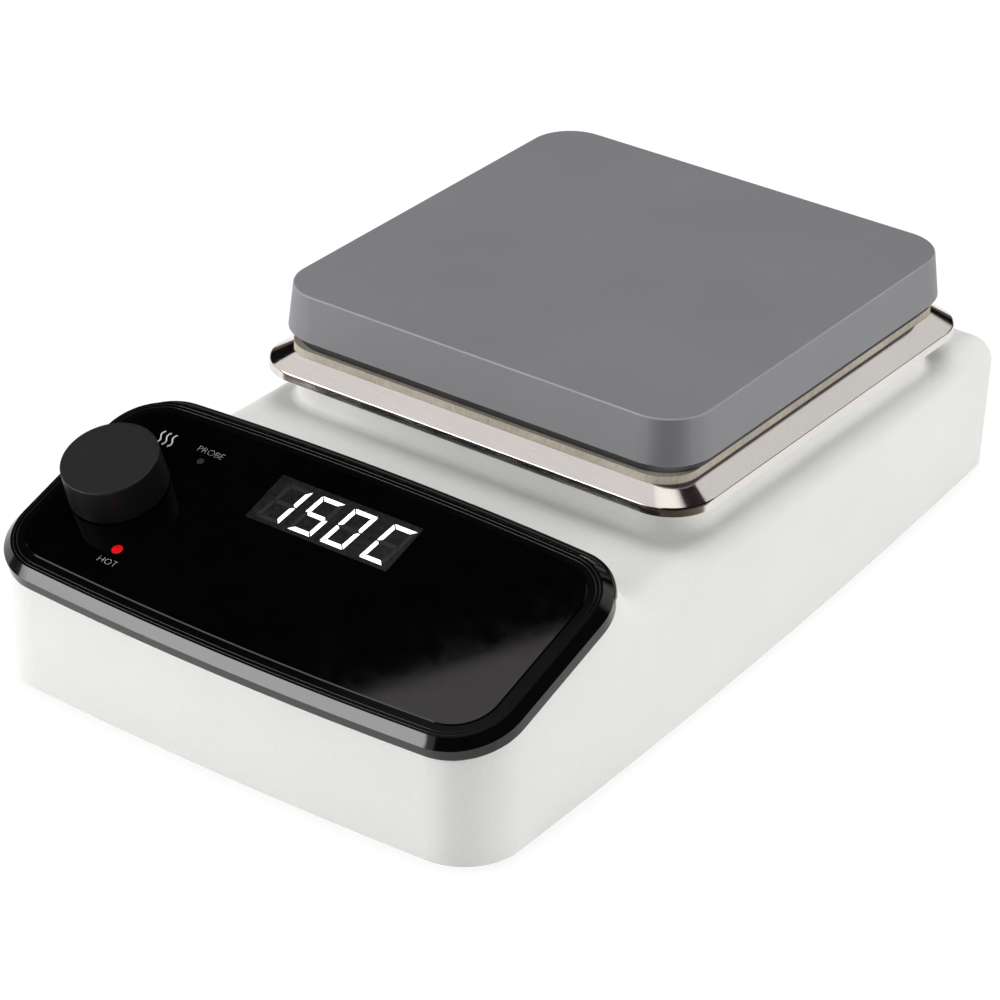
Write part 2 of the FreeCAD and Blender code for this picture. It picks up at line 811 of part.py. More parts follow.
# Holes through the pedestal table for the four long bolts and the sensor
bolt_spots = []
for side in (-1, 1):
    for end in (-1, 1):
        bolt_spots.append((side * bolt_spread, plate_centre + end * bolt_spread))
table_holes = sketch(housing, tray_top)
for x, y in bolt_spots:
    circle(table_holes, x, y, bolt_shank + pass_gap)
sensor_round = size("sensor_round", 2.0)
sensor_collar = size("sensor_collar", 5.0)
circle(table_holes, zero, plate_centre, sensor_round + pass_gap)
pocket(housing, table_holes, shell_wall + 4)

# Rear openings: mains inlet, rocker switch and probe socket
back = as_size(-90)
openings = sketch(housing, zero, body_rear + 1, back)
rectangle(openings, inlet_across - inlet_half - fit_gap, inlet_across + inlet_half + fit_gap,
          -rear_line - inlet_tall - fit_gap, -rear_line + inlet_tall + fit_gap)
rectangle(openings, switch_across - switch_half - fit_gap, switch_across + switch_half + fit_gap,
          -rear_line - switch_tall - fit_gap, -rear_line + switch_tall + fit_gap)
circle(openings, jack_across, -rear_line, jack_thread + pass_gap)
for side in (-1, 1):
    circle(openings, inlet_across + side * inlet_hole, -rear_line, screw_shank + pass_gap)
pocket(housing, openings, shell_wall + 4)

# Base plate: steel sheet inside the foot of the walls, with vent slots
sole_outline = plan_outline("sole_outline", foot_stand + sole_lift, base_halves, body_front, base_corner,
                            shell_wall.value + fit_gap.value)
sole_sheet = doc.addObject("Part::Extrusion", "sole_sheet")
sole_sheet.Base = sole_outline
sole_sheet.Dir = Vector(0, 0, 1)
sole_sheet.DirMode = "Custom"
sole_sheet.Solid = True
bind(sole_sheet, "LengthFwd", sole_thick)
sole = new_body("base_plate")
sole_start = sole.newObject("PartDesign::FeatureBase", "base_plate_start")
sole_start.BaseFeature = sole_sheet
foot_spots = []
for side in (-1, 1):
    foot_spots.append((side * foot_half, -foot_front))
    foot_spots.append((side * foot_half, foot_rear))
power_spots = []
for side in (-1, 1):
    for y in (power_front + power_inset, power_rear - power_inset):
        power_spots.append((side * (power_half - power_inset), y))
sole_holes = sketch(sole, sole_top)
for x, y in boss_spots:
    circle(sole_holes, x, y, screw_shank + pass_gap)
for x, y in foot_spots:
    circle(sole_holes, x, y, screw_shank)
for x, y in power_spots:
    circle(sole_holes, x, y, small_shank + pass_gap)
pocket(sole, sole_holes)
slot_row = sketch(sole, sole_top)
rectangle(slot_row, -vent_long / 2, vent_long / 2, vent_start, vent_start + vent_wide)
slot = pocket(sole, slot_row)
slots = sole.newObject("PartDesign::LinearPattern", "base_plate_slots")
slots.Originals = [slot]
slots.Direction = (slot_row, ["V_Axis"])
slots.Occurrences = 8
bind(slots, "Length", vent_pitch * 7)
sole.Tip = slots
doc.recompute()

base_screws = []
for index, (x, y) in enumerate(boss_spots):
    item = headed("base_screw_" + str(index), screw_head, screw_head_high, screw_shank, sole_thick + 7)
    put(item, x, y, foot_stand + sole_lift)
    base_screws.append(item)
group("base_screws", base_screws)

feet = []
foot_screws = []
foot_top = foot_stand + sole_lift
for index, (x, y) in enumerate(foot_spots):
    tag = str(index)
    round_foot = rod("foot_block_" + tag, x, y, 0, foot_top, foot_round)
    well = rod("foot_well_" + tag, x, y, -1, foot_top - foot_recess, screw_head + pass_gap)
    bore = rod("foot_bore_" + tag, x, y, -1, foot_top + 1, screw_shank + pass_gap)
    feet.append(cut("foot_" + tag, round_foot, join("foot_tool_" + tag, [well, bore])))
    item = headed("foot_screw_" + tag, screw_head, screw_head_high, screw_shank, foot_recess + sole_thick + 3)
    put(item, x, y, foot_top - foot_recess)
    foot_screws.append(item)
group("rubber_feet", feet)
group("foot_screws", foot_screws)

# Heating plate: drafted block, rebated below, with a recess for the heater
plate = new_body("heating_plate")
put(plate, 0, plate_centre, 0)
lower_face = sketch(plate, plate_under)
rounded(lower_face, plate_half, -plate_half, plate_half, plate_corner)
block = pad(plate, lower_face, plate_thick)
block.TaperAngle = -plate_draft.value
block.setExpression("TaperAngle", "(0 - " + plate_draft.text + ") * 1deg")


def plate_rim(edge):
    return edge.BoundBox.ZMin > (plate_under + plate_thick).value - 0.01


def plate_hem(edge):
    return edge.BoundBox.ZMax < plate_under.value + 0.01


browed = round_edges(plate, block, plate_rim, plate_brow)
hemmed = round_edges(plate, browed, plate_hem, plate_foot)
step_sketch = sketch(plate, plate_under + 1)
step_half = plate_half - rebate_inset
rounded(step_sketch, step_half, -step_half, step_half, plate_corner - rebate_inset / 2)
pad(plate, step_sketch, rebate_deep + 1, down=True)
step_low = plate_under - rebate_deep
recess_top = step_low + recess_deep
recess = sketch(plate, step_low)
rectangle(recess, -heater_half - heater_gap, heater_half + heater_gap,
          -heater_half - heater_gap, heater_half + heater_gap)
pocket(plate, recess, recess_deep, up=True)
clamp_spots = []
for side in (-1, 1):
    for end in (-1, 1):
        clamp_spots.append((side * clamp_spread, end * clamp_spread))
threads = sketch(plate, step_low)
for side in (-1, 1):
    for end in (-1, 1):
        circle(threads, side * bolt_spread, end * bolt_spread, bolt_shank)
pocket(plate, threads, bolt_bite + 1, up=True)
clamp_threads = sketch(plate, recess_top)
for x, y in clamp_spots:
    circle(clamp_threads, x, y, screw_shank)
circle(clamp_threads, zero, zero, sensor_round + shaft_gap)
pocket(plate, clamp_threads, as_size(6), up=True)

# Flat mica heater under the plate and the steel sheet that presses it up
heater = new_body("heater_element")
put(heater, 0, plate_centre, 0)
mica = sketch(heater, recess_top - heater_thick)
rectangle(mica, -heater_half, heater_half, -heater_half, heater_half)
pad(heater, mica, heater_thick)
mica_holes = sketch(heater, recess_top)
for x, y in clamp_spots:
    circle(mica_holes, x, y, screw_shank + pass_gap)
circle(mica_holes, zero, zero, sensor_round + pass_gap)
pocket(heater, mica_holes)

presser = new_body("heater_clamp")
put(presser, 0, plate_centre, 0)
presser_low = recess_top - heater_thick - clamp_thick
sheet_sketch = sketch(presser, presser_low)
rounded(sheet_sketch, heater_half, -heater_half, heater_half, as_size(4))
pad(presser, sheet_sketch, clamp_thick)
presser_holes = sketch(presser, recess_top)
for x, y in clamp_spots:
    circle(presser_holes, x, y, screw_shank + pass_gap)
circle(presser_holes, zero, zero, sensor_round + pass_gap)
pocket(presser, presser_holes)

clamp_screws = []
for index, (x, y) in enumerate(clamp_spots):
    item = headed("clamp_screw_" + str(index), screw_head, screw_head_high, screw_shank,
                  clamp_thick + heater_thick + 5)
    put(item, x, y + plate_centre, presser_low)
    clamp_screws.append(item)
group("clamp_screws", clamp_screws)

# Fibre insulation over the flat top of the tray, cleared around the pillars and the sensor
land_half = tray_half - tray_slope_side
land_deep = tray_half - tray_slope_front
land_corner = tray_corner - tray_slope_side / 2
blanket = new_body("insulation_pad")
put(blanket, 0, plate_centre, 0)
fibre = sketch(blanket, tray_top)
blanket_deep = land_deep - blanket_inset
rounded(fibre, land_half - blanket_inset, -blanket_deep, blanket_deep, land_corner)
pad(blanket, fibre, step_low - tray_top)
fibre_holes = sketch(blanket, step_low)
for side in (-1, 1):
    for end in (-1, 1):
        circle(fibre_holes, side * bolt_spread, end * bolt_spread, pillar_round + pass_gap)
circle(fibre_holes, zero, zero, sensor_round + pass_gap)
pocket(blanket, fibre_holes)

# Drip tray: polished sheet with a falling flange and a turned-down lip
tray = new_body("drip_tray")
put(tray, 0, plate_centre, 0)
skirt = sketch(tray, tray_rim - tray_lip)
rounded(skirt, tray_half, -tray_half, tray_half, tray_corner)
pad(tray, skirt, tray_lip)
rim_line = sketch(tray, tray_rim)
rounded(rim_line, tray_half, -tray_half, tray_half, tray_corner)
land_line = sketch(tray, tray_top)
rounded(land_line, land_half, -land_deep, land_deep, land_corner)
domed = loft(tray, rim_line, land_line)


def tray_edge(edge):
    place = edge.BoundBox
    return abs(place.ZMin - tray_rim.value) < 0.01 and abs(place.ZMax - tray_rim.value) < 0.01


rolled = round_edges(tray, domed, tray_edge, tray_roll)
inner_half = tray_half - tray_sheet
inner_corner = tray_corner - tray_sheet
inner_land = land_half - tray_sheet / 4
inner_deep = land_deep - tray_sheet / 4
under_skirt = sketch(tray, tray_rim - tray_lip)
rounded(under_skirt, inner_half, -inner_half, inner_half, inner_corner)
pocket(tray, under_skirt, tray_lip - tray_sheet, up=True)
under_rim = sketch(tray, tray_rim - tray_sheet)
rounded(under_rim, inner_half, -inner_half, inner_half, inner_corner)
under_land = sketch(tray, tray_top - tray_sheet)
rounded(under_land, inner_land, -inner_deep, inner_deep, land_corner)
loft(tray, under_rim, under_land, cut=True)
tray_holes = sketch(tray, tray_top)
for side in (-1, 1):
    for end in (-1, 1):
        circle(tray_holes, side * bolt_spread, end * bolt_spread, bolt_shank + pass_gap)
circle(tray_holes, zero, zero, sensor_round + pass_gap)
pocket(tray, tray_holes)

# Pillars, long bolts, spacers and heat shield
pillars = []
spacers = []
bolts = []
shield_top = shield_low + shield_thick
for index, (x, y) in enumerate(bolt_spots):
    tag = str(index)
    outer = rod("pillar_block_" + tag, x, y, tray_top, step_low, pillar_round)
    inner = rod("pillar_bore_" + tag, x, y, tray_top - 1, step_low + 1, bolt_shank + pass_gap)
    pillars.append(cut("pillar_" + tag, outer, inner))
    outer = rod("spacer_block_" + tag, x, y, shield_top, table_under, pillar_round - 1.5)
    inner = rod("spacer_bore_" + tag, x, y, shield_top - 1, table_under + 1, bolt_shank + pass_gap)
    spacers.append(cut("spacer_" + tag, outer, inner))
    bolt_long = step_low + bolt_bite - shield_low
    item = headed("plate_bolt_" + tag, bolt_head, bolt_head_high, bolt_shank, bolt_long)
    put(item, x, y, shield_low)
    bolts.append(item)
group("plate_pillars", pillars)
group("shield_spacers", spacers)
group("plate_bolts", bolts)

shield = new_body("heat_shield")
put(shield, 0, plate_centre, 0)
shield_sheet = sketch(shield, shield_low)
rounded(shield_sheet, shield_half, -shield_half, shield_half, as_size(8))
pad(shield, shield_sheet, shield_thick)
shield_holes = sketch(shield, shield_top)
for side in (-1, 1):
    for end in (-1, 1):
        circle(shield_holes, side * bolt_spread, end * bolt_spread, bolt_shank + pass_gap)
circle(shield_holes, zero, zero, sensor_collar + 1)
pocket(shield, shield_holes)

# Plate temperature sensor, its collar held up against the pedestal table, and the cut-out
sensor_stem = rod("sensor_stem", 0, plate_centre, table_under - 9, recess_top + 5.5, sensor_round)
sensor_flange = rod("sensor_flange", 0, plate_centre, table_under - 3, table_under, sensor_collar)
keep(join("plate_sensor", [sensor_stem, sensor_flange]), "plate_sensor")
cutout_round = size("cutout_round", 8.0)
cutout_across = size("cutout_across", 28.0)
cutout_can = rod("cutout_can", cutout_across, plate_centre, table_under - 7, table_under, cutout_round)
cutout_tabs = box("cutout_tabs", cutout_across - cutout_round - 5, cutout_across + cutout_round + 5,
                  plate_centre - 3, plate_centre + 3, table_under - 5, table_under - 4.2)
keep(join("thermal_cutout", [cutout_can, cutout_tabs]), "thermal_cutout")

# Bezel: gloss frame with an upright side, a bright facet and a seat for the glass
bezel = new_body("bezel")
put_lean(bezel, zero, zero, zero)
frame_line = sketch(bezel)
bowed(frame_line, bezel_half, zero, console_run, bezel_corner, front_bow)
pad(bezel, frame_line, bezel_side)
facet_low = sketch(bezel, bezel_side)
bowed(facet_low, bezel_half, zero, console_run, bezel_corner, front_bow)
facet_high = sketch(bezel, bezel_rise)
bowed(facet_high, bezel_half - bezel_facet, bezel_facet, console_run - bezel_facet,
      bezel_corner - bezel_facet, front_bow)
loft(bezel, facet_low, facet_high)
glass_under = glass_top - glass_thick
window = sketch(bezel, bezel_rise)
seat_inset = glass_inset - glass_gap
bowed(window, bezel_half - seat_inset, seat_inset, console_run - seat_inset,
      bezel_corner - seat_inset, front_bow)
pocket(bezel, window, bezel_rise - glass_under)
throat = sketch(bezel, bezel_rise)
bowed(throat, bezel_half - bezel_band, bezel_band, console_run - bezel_band,
      bezel_corner - bezel_band, front_bow)
pocket(bezel, throat)
bezel_threads = sketch(bezel)
for x, y in bezel_spots:
    circle(bezel_threads, x, y, screw_shank)
pocket(bezel, bezel_threads, bezel_screw_bite, up=True)

bezel_screws = []
for index, (x, y) in enumerate(bezel_spots):
    item = headed("bezel_screw_" + str(index), screw_head, screw_head_high, screw_shank,
                  shell_wall + bezel_screw_bite)
    put_lean(item, x, y, -shell_wall)
    bezel_screws.append(item)
group("bezel_screws", bezel_screws)

# Front glass with holes for the control and the two lamps
glass = new_body("front_glass")
put_lean(glass, zero, zero, zero)
pane = sketch(glass, glass_under)
bowed(pane, bezel_half - glass_inset, glass_inset, console_run - glass_inset,
      bezel_corner - glass_inset, front_bow)
pane_pad = pad(glass, pane, glass_thick)


def pane_rim(edge):
    return edge.BoundBox.ZMin > glass_top.value - 0.01


round_edges(glass, pane_pad, pane_rim, glass_edge, chamfer=True)
pane_holes = sketch(glass, glass_top)
circle(pane_holes, knob_across, knob_up, washer_round + pass_gap)
circle(pane_holes, hot_across, hot_up, hot_round + shaft_gap)
circle(pane_holes, probe_across, probe_up, probe_round + shaft_gap)
pocket(glass, pane_holes)

# Panel plate bonded behind the glass
panel = new_body("panel_plate")
put_lean(panel, zero, zero, zero)
panel_low = glass_under - panel_plate_thick
panel_sheet = sketch(panel, panel_low)
rounded(panel_sheet, panel_plate_half, panel_plate_low, panel_plate_high, as_size(6))
pad(panel, panel_sheet, panel_plate_thick)
panel_holes = sketch(panel, glass_under)
circle(panel_holes, knob_across, knob_up, bush_round + pass_gap)
circle(panel_holes, hot_across, hot_up, hot_round + pass_gap)
circle(panel_holes, probe_across, probe_up, probe_round + pass_gap)
rectangle(panel_holes, -display_half - fit_gap, display_half + fit_gap,
          display_low - fit_gap, display_high + fit_gap)
pocket(panel, panel_holes)

# Four-digit display module standing on the control board
module = new_body("display_module")
put_lean(module, zero, zero, zero)
module_sketch = sketch(module, board_top)
rectangle(module_sketch, -display_half, display_half, display_low, display_high)
pad(module, module_sketch, glass_under - board_top)

# Lamps: clear pipes on small bases, flush with the glass
for label, x, y, radius in (("hot_lamp", hot_across, hot_up, hot_round),
                            ("probe_lamp", probe_across, probe_up, probe_round)):
    lamp = new_body(label)
    put_lean(lamp, x, y, zero)
    lamp_foot = sketch(lamp, board_top)
    circle(lamp_foot, zero, zero, radius + lamp_base)
    pad(lamp, lamp_foot, lamp_base_high)
    pipe = sketch(lamp, board_top + lamp_base_high)
    circle(pipe, zero, zero, radius)
    pad(lamp, pipe, glass_top - board_top - lamp_base_high)

# Rotary encoder: square body, threaded bush, nut, washer and turning shaft
encoder = new_body("encoder_body")
put_lean(encoder, knob_across, knob_up, zero)
case = sketch(encoder, board_top)
rectangle(case, -encoder_half, encoder_half, -encoder_half, encoder_half)
pad(encoder, case, panel_low - board_top)
bush = sketch(encoder, panel_low)
circle(bush, zero, zero, bush_round)
pad(encoder, bush, bush_top - panel_low)
bush_bore = sketch(encoder, bush_top)
circle(bush_bore, zero, zero, shaft_round + shaft_gap)
pocket(encoder, bush_bore, bush_top + shaft_tail)

shaft = new_body("encoder_shaft")
put_lean(shaft, knob_across, knob_up, zero)
spindle = sketch(shaft, -shaft_tail + fit_gap)
circle(spindle, zero, zero, shaft_round)
pad(shaft, spindle, shaft_end + shaft_tail - fit_gap)
flat_cut = sketch(shaft, shaft_end)
rectangle(flat_cut, -shaft_round - 1, shaft_round + 1, shaft_round - shaft_flat, shaft_round + 1)
knob_low = glass_top + knob_lift
flat_low = knob_low + knob_hollow_deep
pocket(shaft, flat_cut, shaft_end - flat_low)

washer = new_body("encoder_washer")
put_lean(washer, knob_across, knob_up, zero)
washer_sketch = sketch(washer, glass_under)
circle(washer_sketch, zero, zero, washer_round)
circle(washer_sketch, zero, zero, bush_round + shaft_gap)
pad(washer, washer_sketch, washer_thick)

nut_block = doc.addObject("Part::Prism", "encoder_nut_block")
nut_block.Polygon = 6
bind(nut_block, "Circumradius", nut_flat)
bind(nut_block, "Height", nut_thick)
nut_bore = rod("encoder_nut_bore", 0, 0, -1, nut_thick + 1, bush_round + shaft_gap)
nut = keep(cut("encoder_nut", nut_block, nut_bore), "encoder_nut")
put_lean(nut, knob_across, knob_up, glass_under + washer_thick)

# Control knob: drafted barrel with an eased rim, hollow over the nut, flatted bore
knob = new_body("control_knob")
put_lean(knob, knob_across, knob_up, zero)
knob_base = sketch(knob, knob_low)
circle(knob_base, zero, zero, knob_round)
knob_crown = sketch(knob, knob_low + knob_high)
circle(knob_crown, zero, zero, knob_round - knob_taper)
loft(knob, knob_base, knob_crown)
nut_room = sketch(knob, knob_low)
circle(nut_room, zero, zero, knob_hollow)
pocket(knob, nut_room, knob_hollow_deep, up=True)
shaft_room = sketch(knob, flat_low)
circle(shaft_room, zero, zero, shaft_round + shaft_gap)
bore_deep = shaft_end - flat_low + fit_gap
pocket(knob, shaft_room, bore_deep, up=True)
key = sketch(knob, flat_low)
rectangle(key, -shaft_round, shaft_round, shaft_round - shaft_flat + shaft_gap, shaft_round + 0.5)
bored_knob = pad(knob, key, bore_deep)


def knob_rim(edge):
    return edge.BoundBox.ZMin > (knob_low + knob_high).value - 0.01


round_edges(knob, bored_knob, knob_rim, knob_edge)

# Control board on four posts below the panel plate
board = new_body("control_board")
put_lean(board, zero, zero, zero)
board_sheet = sketch(board, board_top - board_thick)
rounded(board_sheet, board_half, board_low, board_high, as_size(3))
pad(board, board_sheet, board_thick)
post_spots = []
for side in (-1, 1):
    for up in (post_low, post_high):
        post_spots.append((side * post_half, up))
board_holes = sketch(board, board_top)
for x, y in post_spots:
    circle(board_holes, x, y, small_shank + pass_gap)
pocket(board, board_holes)
posts = []
post_screws = []
for index, (x, y) in enumerate(post_spots):
    tag = str(index)
    outer = rod("board_post_block_" + tag, 0, 0, 0, panel_low - board_top, post_round)
    inner = rod("board_post_bore_" + tag, 0, 0, -1, panel_low - board_top - 1, small_shank)
    post = cut("board_post_" + tag, outer, inner)
    put_lean(post, x, y, board_top)
    posts.append(post)
    item = headed("board_screw_" + tag, small_head, small_head_high, small_shank, board_thick + 4)
    put_lean(item, x, y, board_top - board_thick)
    post_screws.append(item)
group("board_posts", posts)
group("control_board_screws", post_screws)

# Power board on posts above the base plate
power_low = sole_top + power_lift
power_top = power_low + board_thick
power = new_body("power_board")
power_sheet = sketch(power, power_low)
rounded(power_sheet, power_half, power_front, power_rear, as_size(3))
pad(power, power_sheet, board_thick)
power_holes = sketch(power, power_top)
for x, y in power_spots:
    circle(power_holes, x, y, small_shank + pass_gap)
pocket(power, power_holes)
power_posts = []
power_screws = []
for index, (x, y) in enumerate(power_spots):
    tag = str(index)
    outer = rod("power_post_block_" + tag, x, y, sole_top, power_low, post_round)
    inner = rod("power_post_bore_" + tag, x, y, sole_top - 1, power_low + 1, small_shank)
    power_posts.append(cut("power_post_" + tag, outer, inner))
    item = headed("power_screw_" + tag, small_head, small_head_high, small_shank, board_thick + power_lift)
    put(item, x, y, power_top, as_size(180))
    power_screws.append(item)
group("power_board_posts", power_posts)
group("power_board_screws", power_screws)

# Components on the power board
core_x = as_size(-34)
core_y = power_front + 26
iron = box("transformer_iron", core_x - transformer_wide / 2, core_x + transformer_wide / 2,
           core_y - transformer_deep / 2, core_y + transformer_deep / 2,
           power_top, power_top + transformer_high)
winding = rod("transformer_winding", core_x, core_y - transformer_deep / 2 - 3, power_top + 1,
              power_top + transformer_high - 1, as_size(7))
keep(join("transformer", [iron, winding]), "transformer")
relay_x = as_size(2)
keep(box("relay", relay_x - relay_wide / 2, relay_x + relay_wide / 2, power_front + 10,
         power_front + 10 + relay_deep, power_top, power_top + relay_high), "relay")

sink_x = as_size(34)
sink_y = power_front + 34
sink = new_body("heat_sink")
put(sink, sink_x, sink_y, 0)
web = sketch(sink, power_top)
rectangle(web, -sink_wide / 2, sink_wide / 2, zero, sink_web)
pad(sink, web, sink_high)
fin = sketch(sink, power_top)
fin_left = -sink_wide / 2
rectangle(fin, fin_left, fin_left + sink_fin, sink_web / 2, sink_deep)
first_fin = pad(sink, fin, sink_high)
fins = sink.newObject("PartDesign::LinearPattern", "heat_sink_fins")
fins.Originals = [first_fin]
fins.Direction = (fin, ["H_Axis"])
fins.Occurrences = 9
bind(fins, "Length", sink_pitch * 8)
sink.Tip = fins
keep(box("triac", sink_x - triac_wide / 2, sink_x + triac_wide / 2, sink_y - triac_thick, sink_y,
         power_top + 4, power_top + 4 + triac_high), "triac")

terminal = new_body("terminal_block")
terminal_y = power_rear - 20
put(terminal, 0, terminal_y, 0)
terminal_sketch = sketch(terminal, power_top)
rectangle(terminal_sketch, -terminal_wide / 2, terminal_wide / 2, zero, terminal_deep)
pad(terminal, terminal_sketch, terminal_high)
entry = sketch(terminal, power_top + terminal_high)
entry_x = -terminal_pitch * 2
circle(entry, entry_x, terminal_deep / 2, as_size(2.2))
first_entry = pocket(terminal, entry, terminal_high / 2)
entries = terminal.newObject("PartDesign::LinearPattern", "terminal_block_entries")
entries.Originals = [first_entry]
entries.Direction = (entry, ["H_Axis"])
entries.Occurrences = 5
bind(entries, "Length", terminal_pitch * 4)
terminal.Tip = entries

fuse_x = as_size(-46)
fuse_y = power_rear - 24
fuse_z = power_top + fuse_lift
fuse_rod = rod("fuse_rod", 0, 0, 0, fuse_long, fuse_round)
keep(fuse_rod, "fuse")
put(fuse_rod, fuse_x, fuse_y + fuse_long / 2, fuse_z, as_size(90))
clips = []
for index, end in enumerate((-1, 1)):
    tag = str(index)
    middle = fuse_y + end * (fuse_long / 2 - 3)
    stand = box("clip_stand_" + tag, fuse_x - 1.5, fuse_x + 1.5, middle - 2, middle + 2,
                power_top, fuse_z - fuse_round)
    ring = doc.addObject("Part::Cylinder", "clip_ring_" + tag)
    bind(ring, "Radius", fuse_round + 0.6)
    bind(ring, "Height", as_size(4))
    put(ring, fuse_x, middle + 2, fuse_z, as_size(90))
    eye = doc.addObject("Part::Cylinder", "clip_eye_" + tag)
    bind(eye, "Radius", fuse_round)
    bind(eye, "Height", as_size(6))
    put(eye, fuse_x, middle + 3, fuse_z, as_size(90))
    clips.append(cut("clip_" + tag, join("clip_whole_" + tag, [stand, ring]), eye))
group("fuse_clips", clips)

# Mains inlet with its three pins, two screws and two nuts
inlet = new_body("mains_inlet")
put(inlet, inlet_across, body_rear, rear_line, back)
flange = sketch(inlet)
rounded(flange, inlet_flange_half, -inlet_flange_tall, inlet_flange_tall, as_size(5))
pad(inlet, flange, inlet_flange)
tub = sketch(inlet)
rounded(tub, inlet_half, -inlet_tall, inlet_tall, as_size(2))
pad(inlet, tub, inlet_deep, down=True)
mouth = sketch(inlet, inlet_flange)
cut_corner = inlet_mouth_half * 0.35
polygon(mouth, [(-inlet_mouth_half, -inlet_mouth_tall + cut_corner),
                (-inlet_mouth_half + cut_corner, -inlet_mouth_tall),
                (inlet_mouth_half - cut_corner, -inlet_mouth_tall),
                (inlet_mouth_half, -inlet_mouth_tall + cut_corner),
                (inlet_mouth_half, inlet_mouth_tall), (-inlet_mouth_half, inlet_mouth_tall)])
pocket(inlet, mouth, inlet_flange + inlet_deep - inlet_floor)
ears = sketch(inlet, inlet_flange)
for side in (-1, 1):
    circle(ears, side * inlet_hole, zero, screw_shank + pass_gap)
pocket(inlet, ears, inlet_flange + 1)
ear_wells = sketch(inlet, inlet_flange)
for side in (-1, 1):
    circle(ear_wells, side * inlet_hole, zero, screw_head + pass_gap)
pocket(inlet, ear_wells, screw_head_high)
pin_slots = sketch(inlet, -inlet_deep + inlet_floor)
pin_spots = [(-pin_spread, pin_drop), (pin_spread, pin_drop), (zero, -pin_drop)]
for x, y in pin_spots:
    rectangle(pin_slots, x - pin_thick / 2, x + pin_thick / 2, y - pin_wide / 2, y + pin_wide / 2)
pocket(inlet, pin_slots)
pins = []
for index, (x, y) in enumerate(pin_spots):
    blade = doc.addObject("Part::Box", "pin_" + str(index))
    bind(blade, "Length", pin_thick)
    bind(blade, "Width", pin_wide)
    bind(blade, "Height", inlet_deep + 6 - 2)
    put(blade, inlet_across + x - pin_thick / 2, body_rear - inlet_deep - 6,
        rear_line - y + pin_wide / 2, back)
    pins.append(blade)
group("inlet_pins", pins)
inlet_screws = []
inlet_nuts = []
for index, side in enumerate((-1, 1)):
    tag = str(index)
    item = headed("inlet_screw_" + tag, screw_head, screw_head_high, screw_shank,
                  inlet_flange - screw_head_high + shell_wall + 4)
    put(item, inlet_across + side * inlet_hole, body_rear + inlet_flange - screw_head_high,
        rear_line, as_size(90))
    inlet_screws.append(item)
    block_nut = doc.addObject("Part::Prism", "inlet_nut_block_" + tag)
    block_nut.Polygon = 6
    bind(block_nut, "Circumradius", as_size(3.2))
    bind(block_nut, "Height", as_size(2.4))
    hole = rod("inlet_nut_hole_" + tag, 0, 0, -1, 4, screw_shank)
    item = cut("inlet_nut_" + tag, block_nut, hole)
    put(item, inlet_across + side * inlet_hole, body_rear - shell_wall, rear_line, as_size(90))
    inlet_nuts.append(item)
group("inlet_screws", inlet_screws)
group("inlet_nuts", inlet_nuts)

# Rocker switch: housing with a well, and the rocker on its own axle
switch = new_body("power_switch")
put(switch, switch_across, body_rear, rear_line, back)
switch_face = sketch(switch)
rounded(switch_face, switch_flange_half, -switch_flange_tall, switch_flange_tall, as_size(1.5))
pad(switch, switch_face, switch_flange)
switch_case = sketch(switch)
rectangle(switch_case, -switch_half, switch_half, -switch_tall, switch_tall)
pad(switch, switch_case, switch_deep, down=True)
switch_room = sketch(switch, switch_flange)
rectangle(switch_room, -switch_half + switch_wall, switch_half - switch_wall,
          -switch_tall + switch_wall, switch_tall - switch_wall)
pocket(switch, switch_room, switch_flange + switch_well)
axle_holes = sketch(switch, role="YZ_Plane")
circle(axle_holes, zero, -rocker_pivot, rocker_axle + shaft_gap)
pocket(switch, axle_holes, (switch_half - 0.3) * 2, both=True)
blades = sketch(switch, -switch_deep)
for end in (-1, 1):
    rectangle(blades, as_size(-2.4), as_size(2.4), as_size(end * 5 - 0.4), as_size(end * 5 + 0.4))
pad(switch, blades, as_size(8), down=True)

rocker = new_body("switch_rocker")
pivot_y = body_rear - rocker_pivot
put(rocker, switch_across, pivot_y, rear_line, back + rocker_tilt)
rocker_side = sketch(rocker, role="YZ_Plane")
hollow_top = rocker_top * 0.72 + rocker_pivot * 0.6
shoulder_top = rocker_top + rocker_pivot * 0.55
polygon(rocker_side, [(-rocker_tall, -rocker_axle), (-rocker_axle, -rocker_axle * 2),
                      (rocker_axle, -rocker_axle * 2), (rocker_tall, -rocker_axle),
                      (rocker_tall, shoulder_top), (zero, hollow_top), (-rocker_tall, shoulder_top)])
rocker_pad = pad(rocker, rocker_side, rocker_half * 2)
rocker_pad.SideType = "Symmetric"
axle = sketch(rocker, role="YZ_Plane")
circle(axle, zero, zero, rocker_axle)
axle_pad = pad(rocker, axle, (switch_half - 0.6) * 2)
axle_pad.SideType = "Symmetric"

# Probe socket with its nut
socket = new_body("probe_socket")
put(socket, jack_across, body_rear, rear_line, back)
stem = sketch(socket, jack_tip)
circle(stem, zero, zero, jack_thread)
pad(socket, stem, jack_tip + shell_wall, down=True)
rear_block = sketch(socket, -shell_wall)
rectangle(rear_block, -jack_body, jack_body, -jack_body, jack_body)
pad(socket, rear_block, jack_deep, down=True)
jack_hole = sketch(socket, jack_tip)
circle(jack_hole, zero, zero, jack_bore)
pocket(socket, jack_hole, jack_deep)
ring_block = doc.addObject("Part::Prism", "probe_nut_block")
ring_block.Polygon = 6
bind(ring_block, "Circumradius", jack_nut_flat + 0.6)
bind(ring_block, "Height", jack_nut)
ring_hole = rod("probe_nut_hole", 0, 0, -1, jack_nut + 1, jack_thread)
ring_nut = keep(cut("probe_socket_nut", ring_block, ring_hole), "probe_socket_nut")
put(ring_nut, jack_across, body_rear, rear_line, back)

doc.recompute()

